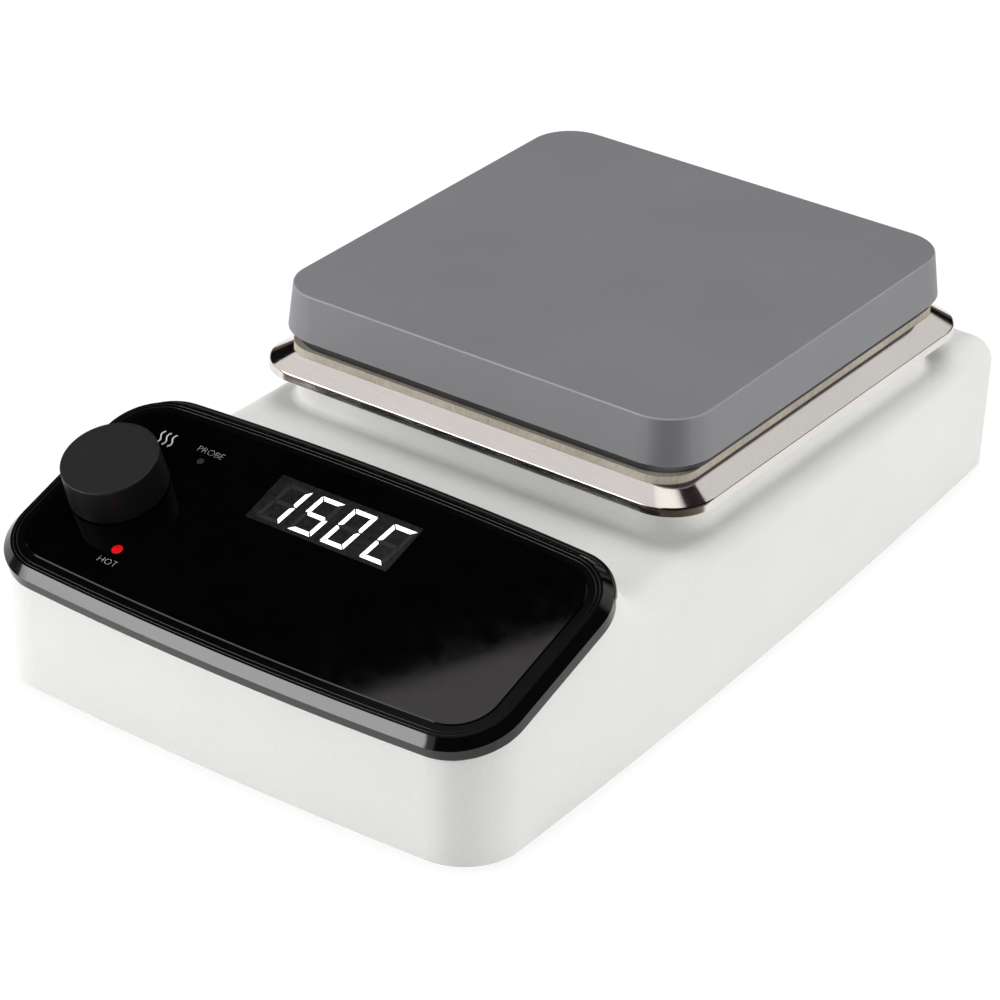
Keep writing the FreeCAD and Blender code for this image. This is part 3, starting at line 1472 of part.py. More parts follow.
faults = []
for thing in doc.Objects:
    if "Invalid" in thing.State or "Error" in thing.State:
        faults.append(thing.Name)
for thing in pieces:
    if thing.Shape.isNull() or not thing.Shape.isValid() or not thing.Shape.Solids:
        faults.append(thing.Label)
if faults:
    raise RuntimeError("not sound: " + ", ".join(faults))

os.makedirs("parts", exist_ok=True)
for thing in pieces:
    thing.Shape.exportStep("parts/" + thing.Label + ".step")
    print(thing.Label, len(thing.Shape.Solids), round(thing.Shape.Volume, 1))
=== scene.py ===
import math

import bpy
from mathutils import Matrix, Vector


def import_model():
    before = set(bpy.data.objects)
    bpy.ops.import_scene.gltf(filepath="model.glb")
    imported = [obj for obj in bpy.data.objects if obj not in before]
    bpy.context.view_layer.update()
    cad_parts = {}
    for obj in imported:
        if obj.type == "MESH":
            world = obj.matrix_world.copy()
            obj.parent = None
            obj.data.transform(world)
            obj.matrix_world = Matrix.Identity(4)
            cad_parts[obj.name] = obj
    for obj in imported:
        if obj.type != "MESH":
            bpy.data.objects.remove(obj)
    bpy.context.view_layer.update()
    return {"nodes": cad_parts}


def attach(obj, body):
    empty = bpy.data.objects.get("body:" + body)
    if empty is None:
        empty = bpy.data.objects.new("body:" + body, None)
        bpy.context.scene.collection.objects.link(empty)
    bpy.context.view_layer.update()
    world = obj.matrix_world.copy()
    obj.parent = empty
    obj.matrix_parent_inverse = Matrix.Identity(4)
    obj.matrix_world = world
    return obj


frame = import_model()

# Laboratory hot plate: finishes, printed marks, display segments and studio.
# Sizes are in millimetres, as on the drawing, and mm() turns them into metres.
nodes = frame["nodes"]


def mm(value):
    return value / 1000


# The console leans back; a place on it is given across, up its slope and out of it
CONSOLE_FRONT = 153.07
CONSOLE_HEIGHT = 38.4
CONSOLE_LEAN = math.radians(18.13)
GLASS_TOP = 6.9
PRINT_LIFT = 0.02
WINDOW_LIFT = 0.01

HOT_WORD = (-53.9, 14.3)
PROBE_WORD = (-53.7, 65.3)
WORD_HEIGHT = 2.5
HEAT_MARK = (-70.6, 65.3)
HEAT_MARK_PITCH = 2.3
HEAT_MARK_HEIGHT = 5.3
HEAT_MARK_SWAY = 0.62

# The bezel's outline on the console, and how finely its beads are bent round the corners
BEZEL_HALF = 95.3
BEZEL_RUN = 83.07
BEZEL_BOW = 1.9
BEZEL_CORNER = 21.2
BEAD_STEPS = 14
# Each bead: how far inside the outline, how far out of the console, its radius, and if it is at the rear only
BEADS = (
    ("bezel_inner_bead", 4.9, 6.55, 0.2, False),
    ("bezel_outer_bead", 3.7, 6.55, 0.2, False),
    ("bezel_rear_bead", -0.5, 2.6, 1.3, True),
)

WINDOW_HALF = 26.8
WINDOW_LOW = 49.3
WINDOW_HIGH = 68.6
DIGIT_LEFT = (-24.2, -11.8, 0.6, 15.5)
DIGIT_LOW = 50.8
DIGIT_WIDE = 8.8
DIGIT_HIGH = 15.7
DIGIT_SLANT = 2.0
SEGMENT_WIDE = 1.55
SEGMENT_GAP = 0.27
SEGMENT_THICK = 0.03
SHOWN = ("bc", "acdfg", "abcdef", "adef")

# Heights over the table: the heating plate's dark step, the seam in it and the top of the painted highlight
# on the rounded edge over it
STEP_TOP = 76.1
SEAM_LOW = 75.15
SEAM_HIGH = 75.45
PAINTED_HIGHLIGHT_TOP = 76.6

# The photograph's camera: where it stood and how it was turned
CAMERA_PLACE = Vector((0.6396, -0.8915, 0.6544))
CAMERA_AZIMUTH = math.radians(36.125)
CAMERA_ELEVATION = math.radians(29.809)
CAMERA_ROLL = math.radians(0.699)
CAMERA_LENS = 141.95

# The way the console faces, and the upright part of the normal given to the tray's lip
CONSOLE_OUT = (0, -math.sin(CONSOLE_LEAN), math.cos(CONSOLE_LEAN))
LIP_LEAN = 0.33

# What the room looks like in a reflection. Each panel: the way to it, the dot product with the ray
# where it begins and where it is full, its colour and its brightness. Later ones lie over earlier
# ones, and the low wall over all. WALL_RISE is where the wall ends, as the ray's upright part
ROOM_SHADE = "#0a0808"
WALL_SHADE = "#6a5f54"
ROOM_LIGHT = 0.25
PANELS = (
    ((0.5546, -0.6506, 0.5188), -0.0022, 0.0012, "#fbf4f2", 1.05),
    ((1.0, 0.0, 0.0), 0.10, 0.20, ROOM_SHADE, 1.0),
    ((0.05, -0.95, 0.30), 0.93, 0.95, ROOM_SHADE, 1.0),
    ((-0.65, -0.5, 0.57), 0.747, 0.757, "#f0efee", 0.95),
    ((0.1, -0.08, 0.992), 0.955, 0.985, "#f7faf3", 1.25),
    ((0.19, 0.75, 0.63), 0.90, 0.95, "#dbdcd9", 1.05),
    ((0.28, 0.40, 0.87), 0.972, 0.976, "#2a2022", 1.0),
    ((-0.555, -0.808, 0.198), 0.976, 0.982, "#ffffff", 9.0),
    ((-0.70, -0.70, 0.13), 0.985, 0.990, "#ffffff", 9.0),
)
WALL_RISE = (0.05, 0.16)
SECOND_MIRROR = 0.35
FLOOR_GLOW = 1.08
FLOOR_SHARE = 0.8

# Each softbox: where it stands, its width and height, all in metres, and its power in watts
SOFTBOXES = (
    ("left_front_softbox", (-1.75, -1.3, 0.45), (1.1, 0.6), 24.5),
    ("right_softbox", (1.9, 1.0, 0.45), (1.3, 0.7), 20),
    ("overhead_softbox", (0.0, 0.1, 1.9), (1.5, 1.5), 20.5),
    ("front_softbox", (-0.5, -1.6, 1.2), (0.8, 0.8), 6),
)
LAMP_AIM = (0, 0, 0.04)


def console_matrix(across, up, out):
    turn = Matrix.Rotation(CONSOLE_LEAN, 4, "X")
    foot = Matrix.Translation((0, -mm(CONSOLE_FRONT), mm(CONSOLE_HEIGHT)))
    return foot @ turn @ Matrix.Translation((mm(across), mm(up), mm(out)))


def linear(hex_colour):
    # sRGB hex to the linear colour that the shaders use
    parts = [int(hex_colour[place:place + 2], 16) / 255 for place in (1, 3, 5)]
    light = [part / 12.92 if part <= 0.04045 else ((part + 0.055) / 1.055) ** 2.4 for part in parts]
    return (*light, 1.0)


def add(tree, kind, links=None, **settings):
    # one node: its settings by name, then its inputs, each a value or a socket to link
    node = tree.nodes.new("ShaderNode" + kind)
    for name, value in settings.items():
        setattr(node, name, value)
    for name, value in (links or {}).items():
        if isinstance(value, bpy.types.NodeSocket):
            tree.links.new(value, node.inputs[name])
        else:
            node.inputs[name].default_value = value
    return node


def facing(tree, direction, begin, full):
    # 0 to 1 as the surface turns to face a direction
    normal = add(tree, "NewGeometry").outputs["Normal"]
    toward = add(tree, "VectorMath", {0: normal, 1: direction}, operation="DOT_PRODUCT").outputs["Value"]
    return add(tree, "MapRange", {"Value": toward, "From Min": begin, "From Max": full}).outputs[0]


def at_height(tree, begin, full):
    # 0 to 1 between two heights over the table, in millimetres
    height = add(tree, "SeparateXYZ", {"Vector": add(tree, "TexCoord").outputs["Object"]}).outputs["Z"]
    return add(tree, "MapRange", {"Value": height, "From Min": mm(begin), "From Max": mm(full)}).outputs[0]


def both_of(tree, one, other):
    return add(tree, "Math", {0: one, 1: other}, operation="MULTIPLY").outputs[0]


def shaders(material):
    tree = material.node_tree
    return tree, next(node for node in tree.nodes if node.type == "BSDF_PRINCIPLED")


def recolour(material, share, shade):
    # lays another colour over the finish where the share is 1
    tree, surface = shaders(material)
    now = surface.inputs["Base Color"].links[0].from_socket
    mixed = add(tree, "MixRGB", {"Fac": share, "Color1": now, "Color2": linear(shade)})
    tree.links.new(mixed.outputs[0], surface.inputs["Base Color"])


def finish_of(name, dark, light, grain, bump, rough, stretch=(1, 1, 1), patch=35.0, **shader):
    """A surface whose colour, roughness and relief follow a grain of a real size.

    grain and patch are in millimetres, bump is the relief's height in millimetres and rough is
    the range of roughness. What is the same all over the surface is set on the shader itself.
    """
    material = bpy.data.materials.new(name)
    material.use_nodes = True
    tree = material.node_tree
    tree.nodes.clear()
    place = add(tree, "TexCoord").outputs["Object"]
    drawn = add(tree, "Mapping", {"Vector": place, "Scale": stretch}).outputs["Vector"]
    fine = add(tree, "TexNoise", {"Vector": drawn, "Scale": 1 / mm(grain), "Detail": 3.0})
    broad = add(tree, "TexNoise", {"Vector": place, "Scale": 1 / mm(patch), "Detail": 2.0})
    mixed = add(tree, "Math", {0: fine.outputs["Fac"], 1: broad.outputs["Fac"]}, operation="ADD")
    shade = add(tree, "MapRange", {"Value": mixed.outputs[0], "From Min": 0.6, "From Max": 1.4})
    colour = add(tree, "MixRGB", {"Fac": shade.outputs[0], "Color1": linear(dark), "Color2": linear(light)})
    gloss = add(tree, "MapRange", {"Value": fine.outputs["Fac"], "From Min": 0.3, "From Max": 0.7,
                                   "To Min": rough[0], "To Max": rough[1]})
    relief = add(tree, "Bump", {"Height": fine.outputs["Fac"], "Strength": 1.0, "Distance": mm(bump)})
    surface = add(tree, "BsdfPrincipled", {"Base Color": colour.outputs[0], "Roughness": gloss.outputs[0],
                                           "Normal": relief.outputs[0], **shader})
    tree.links.new(surface.outputs[0], add(tree, "OutputMaterial").inputs["Surface"])
    return material


# Powder-coated die-cast aluminium: satin off-white with a fine orange peel
powder_coat = finish_of("powder_coated_aluminium", "#e2e2df", "#e9e9e6", 1.1, 0.012, (0.42, 0.52))
# Ceramic-filled coating sprayed on cast aluminium: matt mid grey with a fine tooth
plate_coat = finish_of("ceramic_coated_aluminium", "#757579", "#7c7c80", 0.55, 0.010, (0.46, 0.60), IOR=1.8)
# Polished stainless sheet: a clear mirror with the faint draw of the rolling
polished_sheet = finish_of("polished_stainless_steel", "#ddd7d4", "#e6e0dd", 0.8, 0.0002, (0.07, 0.12),
                           stretch=(0.1, 1, 1), Metallic=1.0)
# Needled mineral-fibre felt: warm beige, fibrous and fully matt
fibre_felt = finish_of("mineral_fibre_felt", "#a39a8b", "#d6cebf", 0.9, 0.25, (0.9, 1.0), stretch=(1, 1, 0.4))
# Injection-moulded gloss ABS: deep black with a clear highlight
gloss_abs = finish_of("gloss_black_abs", "#040404", "#060606", 2.5, 0.0004, (0.05, 0.09), IOR=1.46)
# Float glass printed black behind: flat and very clear
printed_glass = finish_of("black_printed_glass", "#010101", "#030303", 6.0, 0.0001, (0.02, 0.04), IOR=1.52)
# Spark-eroded ABS with a soft-touch lacquer: satin black that catches a grey edge
satin_abs = finish_of("satin_black_abs", "#0a0909", "#0f0e0e", 0.35, 0.004, (0.34, 0.42), IOR=1.46)
# Glass-filled nylon: dull black with a faint sink and flow
dull_nylon = finish_of("black_nylon", "#121212", "#1b1b1b", 0.6, 0.010, (0.48, 0.62), IOR=1.53)
grey_nylon = finish_of("grey_nylon", "#55565a", "#626367", 0.6, 0.010, (0.48, 0.62), IOR=1.53)
pale_nylon = finish_of("natural_nylon", "#d3cfc3", "#e2dfd4", 0.6, 0.010, (0.45, 0.60), IOR=1.53)
blue_resin = finish_of("blue_potting_case", "#16406f", "#1d4d82", 0.8, 0.008, (0.38, 0.5), IOR=1.54)
# Nitrile rubber: black, very matt, slightly dusty
rubber = finish_of("nitrile_rubber", "#171717", "#242424", 0.5, 0.03, (0.78, 0.92), IOR=1.52)
# Bright zinc on rolled steel: pale grey metal with a soft directional draw
zinc_steel = finish_of("zinc_plated_steel", "#a9adb0", "#c3c6c8", 1.6, 0.004, (0.28, 0.42),
                       stretch=(0.15, 1, 1), Metallic=1.0)
plain_steel = finish_of("stainless_steel", "#b2b2b2", "#c8c8c8", 1.2, 0.003, (0.25, 0.38), Metallic=1.0)
nickel_brass = finish_of("nickel_plated_brass", "#b9b09c", "#cdc6b5", 0.9, 0.002, (0.18, 0.3), Metallic=1.0)
plain_aluminium = finish_of("extruded_aluminium", "#b3b5b8", "#c6c8ca", 1.4, 0.004, (0.3, 0.42),
                            stretch=(1, 1, 0.12), Metallic=1.0)
# Pressed mica flakes in resin, amber and layered
mica_sheet = finish_of("pressed_mica", "#8f7a53", "#b8a37a", 2.2, 0.02, (0.4, 0.6))
varnished_iron = finish_of("varnished_laminations", "#2e2a26", "#47413a", 0.5, 0.05, (0.4, 0.55),
                           stretch=(1, 8, 1))
circuit_board = finish_of("green_solder_mask", "#0e3b22", "#15502e", 1.3, 0.02, (0.25, 0.4), IOR=1.52)
clear_glass = finish_of("fuse_glass", "#e8eceb", "#f4f6f5", 4.0, 0.0002, (0.02, 0.05), IOR=1.5,
                        **{"Transmission Weight": 0.9})
smoked_lens = finish_of("smoked_lens", "#1b1c1b", "#262726", 0.6, 0.002, (0.2, 0.3), IOR=1.49)
unlit_face = finish_of("smoked_display_face", "#0d0d0d", "#141414", 1.8, 0.0005, (0.12, 0.2), IOR=1.5)
unlit_bar = finish_of("unlit_segment", "#171717", "#1c1c1c", 0.8, 0.0005, (0.2, 0.3), IOR=1.5)
red_lens = finish_of("lit_red_lens", "#b00006", "#c4000a", 0.9, 0.001, (0.15, 0.25),
                     **{"Emission Color": linear("#d00016"), "Emission Strength": 0.35})
lit_bar = finish_of("lit_segment", "#ffffff", "#f8f8ff", 0.8, 0.0002, (0.3, 0.4),
                    **{"Emission Color": linear("#ffffff"), "Emission Strength": 1.1})
white_print = finish_of("white_screen_print", "#c9c9c9", "#dadada", 0.4, 0.002, (0.5, 0.6))

# Below the plate's side is a recessed step, coloured near black, with a pale seam and a painted highlight on
# the rounded edge over it
tree, surface = shaders(plate_coat)
recolour(plate_coat, at_height(tree, STEP_TOP + 0.06, STEP_TOP - 0.04), "#0e0e11")
seam = both_of(tree, at_height(tree, SEAM_LOW, SEAM_LOW + 0.05), at_height(tree, SEAM_HIGH, SEAM_HIGH - 0.05))
recolour(plate_coat, seam, "#7d7268")
# Painted highlight: a bright band on the plate's rounded lower edge, between the step and the side
painted_edge_highlight = both_of(tree, at_height(tree, STEP_TOP, STEP_TOP + 0.05), at_height(tree, PAINTED_HIGHLIGHT_TOP, PAINTED_HIGHLIGHT_TOP - 0.2))
recolour(plate_coat, painted_edge_highlight, "#9a9795")
# Painted highlight: the coat is coloured paler along its rounded top edge, and painted shade makes it darker
# on its near corner
painted_top_highlight = both_of(tree, facing(tree, (0, 0, 1), 0.2, 0.4), facing(tree, (0, 0, 1), 0.97, 0.9))
recolour(plate_coat, painted_top_highlight, "#8f8f94")
# Painted shade: the faces turned to the near corner are coloured darker
recolour(plate_coat, facing(tree, (0.6, -0.8, 0), 0.90, 1.0), "#5c5b60")

# The tray's turned lip leans out a little at its foot, so it mirrors the console and not the deck
tree, surface = shaders(polished_sheet)
upright = both_of(tree, facing(tree, (0, 0, 1), 0.6, 0.5), facing(tree, (0, 0, 1), -0.2, -0.1))
normal = add(tree, "NewGeometry").outputs["Normal"]
rise = add(tree, "SeparateXYZ", {"Vector": normal}).outputs["Z"]
rest = add(tree, "Math", {0: LIP_LEAN, 1: rise}, operation="SUBTRACT").outputs[0]
lean = add(tree, "CombineXYZ", {"Z": both_of(tree, upright, rest)}).outputs[0]
leaned = add(tree, "VectorMath", {0: normal, 1: lean}, operation="ADD").outputs[0]
leaned = add(tree, "VectorMath", {0: leaned}, operation="NORMALIZE").outputs[0]
tree.links.new(leaned, surface.inputs["Normal"].links[0].from_node.inputs["Normal"])

# The bezel's flat round the glass has a fine tooth and mirrors little; so does the ground edge of the glass
for material, first, last in ((gloss_abs, 0.5, 0.08), (printed_glass, 0.1, 0.5)):
    tree, surface = shaders(material)
    flat = facing(tree, CONSOLE_OUT, 0.996, 0.999)
    level = add(tree, "MapRange", {"Value": flat, "To Min": first, "To Max": last})
    tree.links.new(level.outputs[0], surface.inputs["Specular IOR Level"])

FINISHES = {
    "enclosure": powder_coat, "heating_plate": plate_coat, "drip_tray": polished_sheet,
    "insulation_pad": fibre_felt, "bezel": gloss_abs, "front_glass": printed_glass,
    "control_knob": satin_abs, "hot_lamp": red_lens, "probe_lamp": smoked_lens,
    "display_module": unlit_face, "panel_plate": grey_nylon, "rubber_feet": rubber,
    "base_plate": zinc_steel, "base_screws": zinc_steel, "foot_screws": zinc_steel,
    "heater_element": mica_sheet, "heater_clamp": zinc_steel, "clamp_screws": zinc_steel,
    "plate_pillars": plain_steel, "shield_spacers": plain_steel, "plate_bolts": zinc_steel,
    "heat_shield": zinc_steel, "plate_sensor": plain_steel, "thermal_cutout": plain_aluminium,
    "bezel_screws": zinc_steel, "encoder_body": dull_nylon, "encoder_shaft": plain_aluminium,
    "encoder_washer": zinc_steel, "encoder_nut": nickel_brass, "control_board": circuit_board,
    "board_posts": nickel_brass, "control_board_screws": zinc_steel, "power_board": circuit_board,
    "power_board_posts": nickel_brass, "power_board_screws": zinc_steel, "transformer": varnished_iron,
    "relay": blue_resin, "heat_sink": plain_aluminium, "triac": dull_nylon,
    "terminal_block": pale_nylon, "fuse": clear_glass, "fuse_clips": nickel_brass,
    "mains_inlet": dull_nylon, "inlet_pins": nickel_brass, "inlet_screws": zinc_steel,
    "inlet_nuts": zinc_steel, "power_switch": dull_nylon, "switch_rocker": gloss_abs,
    "probe_socket": dull_nylon, "probe_socket_nut": nickel_brass,
}


def dress(thing, material):
    thing.data.materials.clear()
    thing.data.materials.append(material)


for name, thing in nodes.items():
    dress(thing, FINISHES[name])

bpy.ops.object.select_all(action="DESELECT")


def settle(thing, name, material, body, matrix=None):
    """Gives a new piece its place in its mesh, its name, its finish and the body it moves with."""
    if matrix is not None:
        thing.matrix_world = matrix @ thing.matrix_world
    bpy.context.view_layer.update()
    bpy.ops.object.select_all(action="DESELECT")
    thing.select_set(True)
    bpy.context.view_layer.objects.active = thing
    bpy.ops.object.transform_apply(location=True, rotation=True, scale=True)
    thing.select_set(False)
    thing.name = name
    thing.data.name = name
    dress(thing, material)
    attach(thing, body)
    return thing


def joined(things):
    bpy.ops.object.select_all(action="DESELECT")
    for thing in things:
        thing.select_set(True)
    bpy.context.view_layer.objects.active = things[0]
    bpy.ops.object.join()
    return bpy.context.view_layer.objects.active


def flipped(corners):
    return [(x, DIGIT_HIGH - y) for x, y in reversed(corners)]


def mirrored(corners):
    return [(DIGIT_WIDE - x, y) for x, y in reversed(corners)]


def bar_corners():
    """The seven bars of an upright digit, mitred where they meet: letter and corners, in mm."""
    wide, high, stroke, gap = DIGIT_WIDE, DIGIT_HIGH, SEGMENT_WIDE, SEGMENT_GAP
    middle = high / 2
    half = stroke / 2
    upper_right = [(wide, middle + gap), (wide, high - gap), (wide - stroke, high - stroke - gap),
                   (wide - stroke, middle + half + gap), (wide - half, middle + gap)]
    top = [(gap, high), (stroke + gap, high - stroke), (wide - stroke - gap, high - stroke),
           (wide - gap, high)]
    cross = [(half + gap, middle), (stroke + gap, middle - half), (wide - stroke - gap, middle - half),
             (wide - half - gap, middle), (wide - stroke - gap, middle + half), (stroke + gap, middle + half)]
    return {"a": top, "b": upper_right, "c": flipped(upper_right), "d": flipped(top),
            "e": flipped(mirrored(upper_right)), "f": mirrored(upper_right), "g": cross}


def display_bar(corners, left):
    # a flat plate with the given corners, slanted like the digit it belongs to
    bpy.ops.mesh.primitive_circle_add(vertices=len(corners), radius=mm(1), fill_type="NGON")
    bar = bpy.context.object
    for point, (across, up) in zip(bar.data.vertices, corners):
        point.co = (mm(left + across + DIGIT_SLANT * up / DIGIT_HIGH), mm(DIGIT_LOW + up), 0)
    bpy.ops.object.mode_set(mode="EDIT")
    bpy.ops.mesh.select_all(action="SELECT")
    bpy.ops.mesh.extrude_region_move(TRANSFORM_OT_translate={"value": (0, 0, mm(SEGMENT_THICK))})
    bpy.ops.mesh.select_all(action="SELECT")
    bpy.ops.mesh.normals_make_consistent(inside=False)
    bpy.ops.object.mode_set(mode="OBJECT")
    return bar


def display_digits():
    lit = []
    unlit = []
    for left, shown in zip(DIGIT_LEFT, SHOWN):
        for letter, corners in bar_corners().items():
            (lit if letter in shown else unlit).append(display_bar(corners, left))
    place = console_matrix(0, 0, GLASS_TOP + WINDOW_LIFT + PRINT_LIFT)
    settle(joined(lit), "display_lit_bars", lit_bar, "housing", place)
    settle(joined(unlit), "display_unlit_bars", unlit_bar, "housing", place)


def display_window():
    bpy.ops.mesh.primitive_plane_add(size=1)
    pane = bpy.context.object
    pane.scale = (mm(2 * WINDOW_HALF), mm(WINDOW_HIGH - WINDOW_LOW), 1)
    bpy.ops.object.transform_apply(scale=True)
    bpy.ops.object.mode_set(mode="EDIT")
    bpy.ops.mesh.select_all(action="SELECT")
    bpy.ops.mesh.bevel(offset=mm(0.6), segments=4, affect="VERTICES")
    bpy.ops.mesh.select_all(action="SELECT")
    bpy.ops.mesh.extrude_region_move(TRANSFORM_OT_translate={"value": (0, 0, mm(PRINT_LIFT))})
    bpy.ops.mesh.select_all(action="SELECT")
    bpy.ops.mesh.normals_make_consistent(inside=False)
    bpy.ops.object.mode_set(mode="OBJECT")
    middle = (WINDOW_LOW + WINDOW_HIGH) / 2
    settle(pane, "display_window", unlit_face, "housing", console_matrix(0, middle, GLASS_TOP))


def printed_word(text, place, name):
    bpy.ops.object.text_add()
    word = bpy.context.object
    word.data.body = text
    word.data.size = mm(WORD_HEIGHT) / 0.72
    word.data.align_x = "CENTER"
    word.data.offset = -mm(0.12)
    word.data.extrude = mm(0.01)
    word.data.resolution_u = 4
    bpy.ops.object.convert(target="MESH")
    settle(bpy.context.object, name, white_print, "housing", console_matrix(*place, GLASS_TOP + PRINT_LIFT))


def heat_mark():
    # three rising waves, each a flat swept stroke
    waves = []
    steps = 12
    for index in (-1, 0, 1):
        curve = bpy.data.curves.new("wave", "CURVE")
        curve.dimensions = "3D"
        curve.bevel_depth = mm(0.25)
        curve.bevel_resolution = 3
        curve.use_fill_caps = True
        line = curve.splines.new("NURBS")
        line.points.add(steps)
        for step, point in enumerate(line.points):
            share = step / steps
            sway = HEAT_MARK_SWAY * math.sin(2 * math.pi * share)
            point.co = (mm(index * HEAT_MARK_PITCH + sway), mm((share - 0.5) * HEAT_MARK_HEIGHT), 0, 1)
        line.order_u = 3
        line.use_endpoint_u = True
        wave = bpy.data.objects.new("wave", curve)
        bpy.context.collection.objects.link(wave)
        bpy.ops.object.select_all(action="DESELECT")
        wave.select_set(True)
        bpy.context.view_layer.objects.active = wave
        bpy.ops.object.convert(target="MESH")
        waves.append(bpy.context.object)
    whole = joined(waves)
    whole.scale = (1, 1, 0.06)
    settle(whole, "heat_mark", white_print, "housing", console_matrix(*HEAT_MARK, GLASS_TOP + PRINT_LIFT))


def arc(centre, radius, begin, end, steps):
    turns = [begin + (end - begin) * step / steps for step in range(steps)]
    return [(centre[0] + radius * math.cos(turn), centre[1] + radius * math.sin(turn)) for turn in turns]


def console_outline(inset, rear_only):
    """The bezel's outline at an inset: straight sides, round corners, bowed front and rear edges."""
    turn = BEZEL_CORNER - inset
    side = BEZEL_HALF - BEZEL_CORNER
    large = (side ** 2 + BEZEL_BOW ** 2) / (2 * BEZEL_BOW)
    swing = math.acos(side / (large - turn))
    low = inset - BEZEL_BOW + large
    high = BEZEL_RUN - inset + BEZEL_BOW - large
    low_corner = low - (large - turn) * math.sin(swing)
    high_corner = high + (large - turn) * math.sin(swing)
    rear = arc((side, high_corner), turn, 0, swing, BEAD_STEPS)
    rear += arc((0, high), large, swing, math.pi - swing, BEAD_STEPS)
    rear += arc((-side, high_corner), turn, math.pi - swing, math.pi, BEAD_STEPS)
    if rear_only:
        return rear
    front = arc((-side, low_corner), turn, math.pi, math.pi + swing, BEAD_STEPS)
    front += arc((0, low), large, math.pi + swing, 2 * math.pi - swing, BEAD_STEPS)
    front += arc((side, low_corner), turn, 2 * math.pi - swing, 2 * math.pi, BEAD_STEPS)
    return rear + front


def bezel_bead(name, inset, out, thick, rear_only):
    # a fine round bead moulded along the bezel's outline
    path = [(mm(across), mm(up), 0, 1) for across, up in console_outline(inset, rear_only)]
    if rear_only:
        # its two ends run into the bezel's side
        for step in range(BEAD_STEPS):
            sunk = mm(2 * thick) * (1 - step / BEAD_STEPS)
            for place, sign in ((step, -1), (len(path) - 1 - step, 1)):
                across, up, out_of, weight = path[place]
                path[place] = (across + sign * sunk, up, out_of, weight)
    curve = bpy.data.curves.new(name, "CURVE")
    curve.dimensions = "3D"
    curve.bevel_depth = mm(thick)
    curve.bevel_resolution = 3
    line = curve.splines.new("POLY")
    line.points.add(len(path) - 1)
    for point, place in zip(line.points, path):
        point.co = place
    line.use_cyclic_u = not rear_only
    curve.use_fill_caps = rear_only
    bead = bpy.data.objects.new(name, curve)
    bpy.context.collection.objects.link(bead)
    bpy.ops.object.select_all(action="DESELECT")
    bead.select_set(True)
    bpy.context.view_layer.objects.active = bead
    bpy.ops.object.convert(target="MESH")
    bpy.ops.object.shade_smooth()
    settle(bpy.context.object, name, gloss_abs, "housing", console_matrix(0, 0, out))


display_window()
display_digits()
for name, inset, out, thick, rear_only in BEADS:
    bezel_bead(name, inset, out, thick, rear_only)
printed_word("HOT", HOT_WORD, "hot_word")
printed_word("PROBE", PROBE_WORD, "probe_word")
heat_mark()


# Studio: pale floor, soft lamps, and a room whose panels show only in reflections
def floor():
    bpy.ops.mesh.primitive_plane_add(size=8, location=(0, 0, -0.0002))
    ground = bpy.context.object
    ground.name = "floor"
    material = bpy.data.materials.new("pale_floor")
    material.use_nodes = True
    tree = material.node_tree
    tree.nodes.clear()
    path = add(tree, "LightPath")
    seen = path.outputs["Is Camera Ray"]
    for kind in ("Is Glossy Ray", "Is Transmission Ray"):
        seen = add(tree, "Math", {0: seen, 1: path.outputs[kind]}, operation="MAXIMUM").outputs[0]
    share = add(tree, "Math", {0: seen, 1: FLOOR_SHARE}, operation="MULTIPLY")
    matt = add(tree, "BsdfDiffuse", {"Color": linear("#f4f4f4")})
    bright = add(tree, "Emission", {"Color": (1, 1, 1, 1), "Strength": FLOOR_GLOW})
    both = add(tree, "MixShader", {0: share.outputs[0], 1: matt.outputs[0], 2: bright.outputs[0]})
    tree.links.new(both.outputs[0], add(tree, "OutputMaterial").inputs["Surface"])
    dress(ground, material)


def lamp(name, place, aim, size, power):
    data = bpy.data.lights.new(name, "AREA")
    data.shape = "RECTANGLE"
    data.size, data.size_y = size
    data.energy = power
    thing = bpy.data.objects.new(name, data)
    bpy.context.collection.objects.link(thing)
    thing.location = place
    thing.rotation_mode = "QUATERNION"
    thing.rotation_quaternion = (Vector(aim) - Vector(place)).to_track_quat("-Z", "Y")
    thing.visible_glossy = False
    return thing


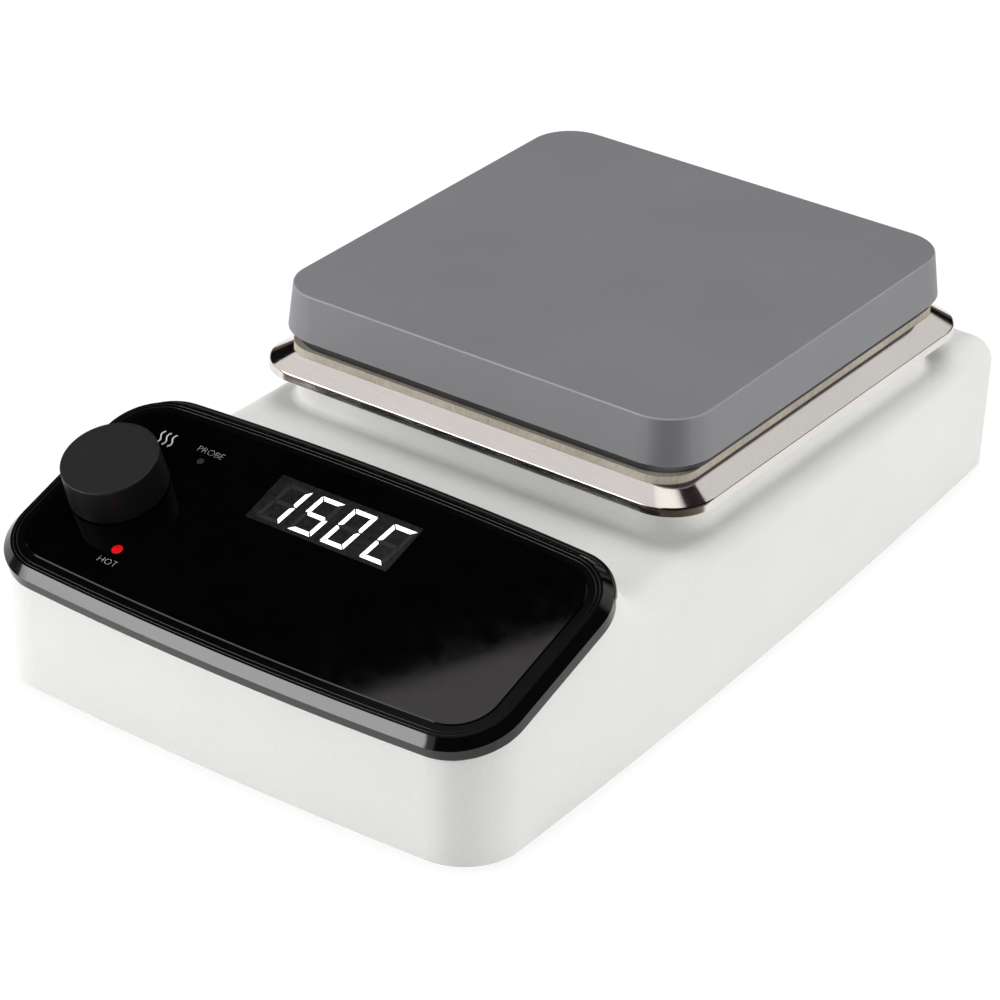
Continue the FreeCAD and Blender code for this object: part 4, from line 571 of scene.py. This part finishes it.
def world():
    """The room: white behind the object, and dark with a few bright panels where it is mirrored."""
    sky = bpy.data.worlds.new("studio")
    bpy.context.scene.world = sky
    sky.use_nodes = True
    tree = sky.node_tree
    tree.nodes.clear()
    ray = add(tree, "TexCoord").outputs["Generated"]
    height = add(tree, "SeparateXYZ", {"Vector": ray}).outputs["Z"]
    low_wall = add(tree, "MapRange", {"Value": height, "From Min": WALL_RISE[0], "From Max": WALL_RISE[1]})
    room = linear(ROOM_SHADE)
    for way, begin, full, shade, strength in PANELS:
        toward = add(tree, "VectorMath", {0: ray, 1: way}, operation="DOT_PRODUCT")
        share = add(tree, "MapRange", {"Value": toward.outputs["Value"], "From Min": begin, "From Max": full})
        colour = (*(part * strength for part in linear(shade)[:3]), 1)
        room = add(tree, "MixRGB", {"Fac": share.outputs[0], "Color1": room, "Color2": colour}).outputs[0]
    seen = add(tree, "MixRGB", {"Fac": low_wall.outputs[0], "Color1": linear(WALL_SHADE), "Color2": room})
    path = add(tree, "LightPath").outputs
    twice = add(tree, "MapRange", {"Value": path["Glossy Depth"], "From Min": 1.0, "From Max": 2.0,
                                   "To Min": 1.0, "To Max": SECOND_MIRROR})
    glossy = add(tree, "Background", {"Color": seen.outputs[0], "Strength": twice.outputs[0]})
    plain = add(tree, "MapRange", {"Value": path["Is Diffuse Ray"], "To Min": 1.0, "To Max": ROOM_LIGHT})
    white = add(tree, "Background", {"Color": (1, 1, 1, 1), "Strength": plain.outputs[0]})
    share = path["Is Glossy Ray"]
    both = add(tree, "MixShader", {0: share, 1: white.outputs[0], 2: glossy.outputs[0]})
    tree.links.new(both.outputs[0], add(tree, "OutputWorld").inputs["Surface"])


def camera():
    data = bpy.data.cameras.new("camera")
    data.lens = CAMERA_LENS
    data.sensor_width = 36
    data.clip_start = 0.01
    data.clip_end = 50
    thing = bpy.data.objects.new("camera", data)
    bpy.context.collection.objects.link(thing)
    turn, rise, roll = CAMERA_AZIMUTH, CAMERA_ELEVATION, CAMERA_ROLL
    back = Vector((math.sin(turn) * math.cos(rise), -math.cos(turn) * math.cos(rise), math.sin(rise)))
    level = Vector((math.cos(turn), math.sin(turn), 0))
    upright = back.cross(level)
    right = level * math.cos(roll) + upright * math.sin(roll)
    up = upright * math.cos(roll) - level * math.sin(roll)
    turned = Matrix((right, up, back)).transposed()
    thing.matrix_world = Matrix.Translation(CAMERA_PLACE) @ turned.to_4x4()
    bpy.context.scene.camera = thing


floor()
world()
camera()
for name, place, size, power in SOFTBOXES:
    lamp(name, place, LAMP_AIM, size, power)

bpy.context.scene.view_settings.view_transform = "Standard"
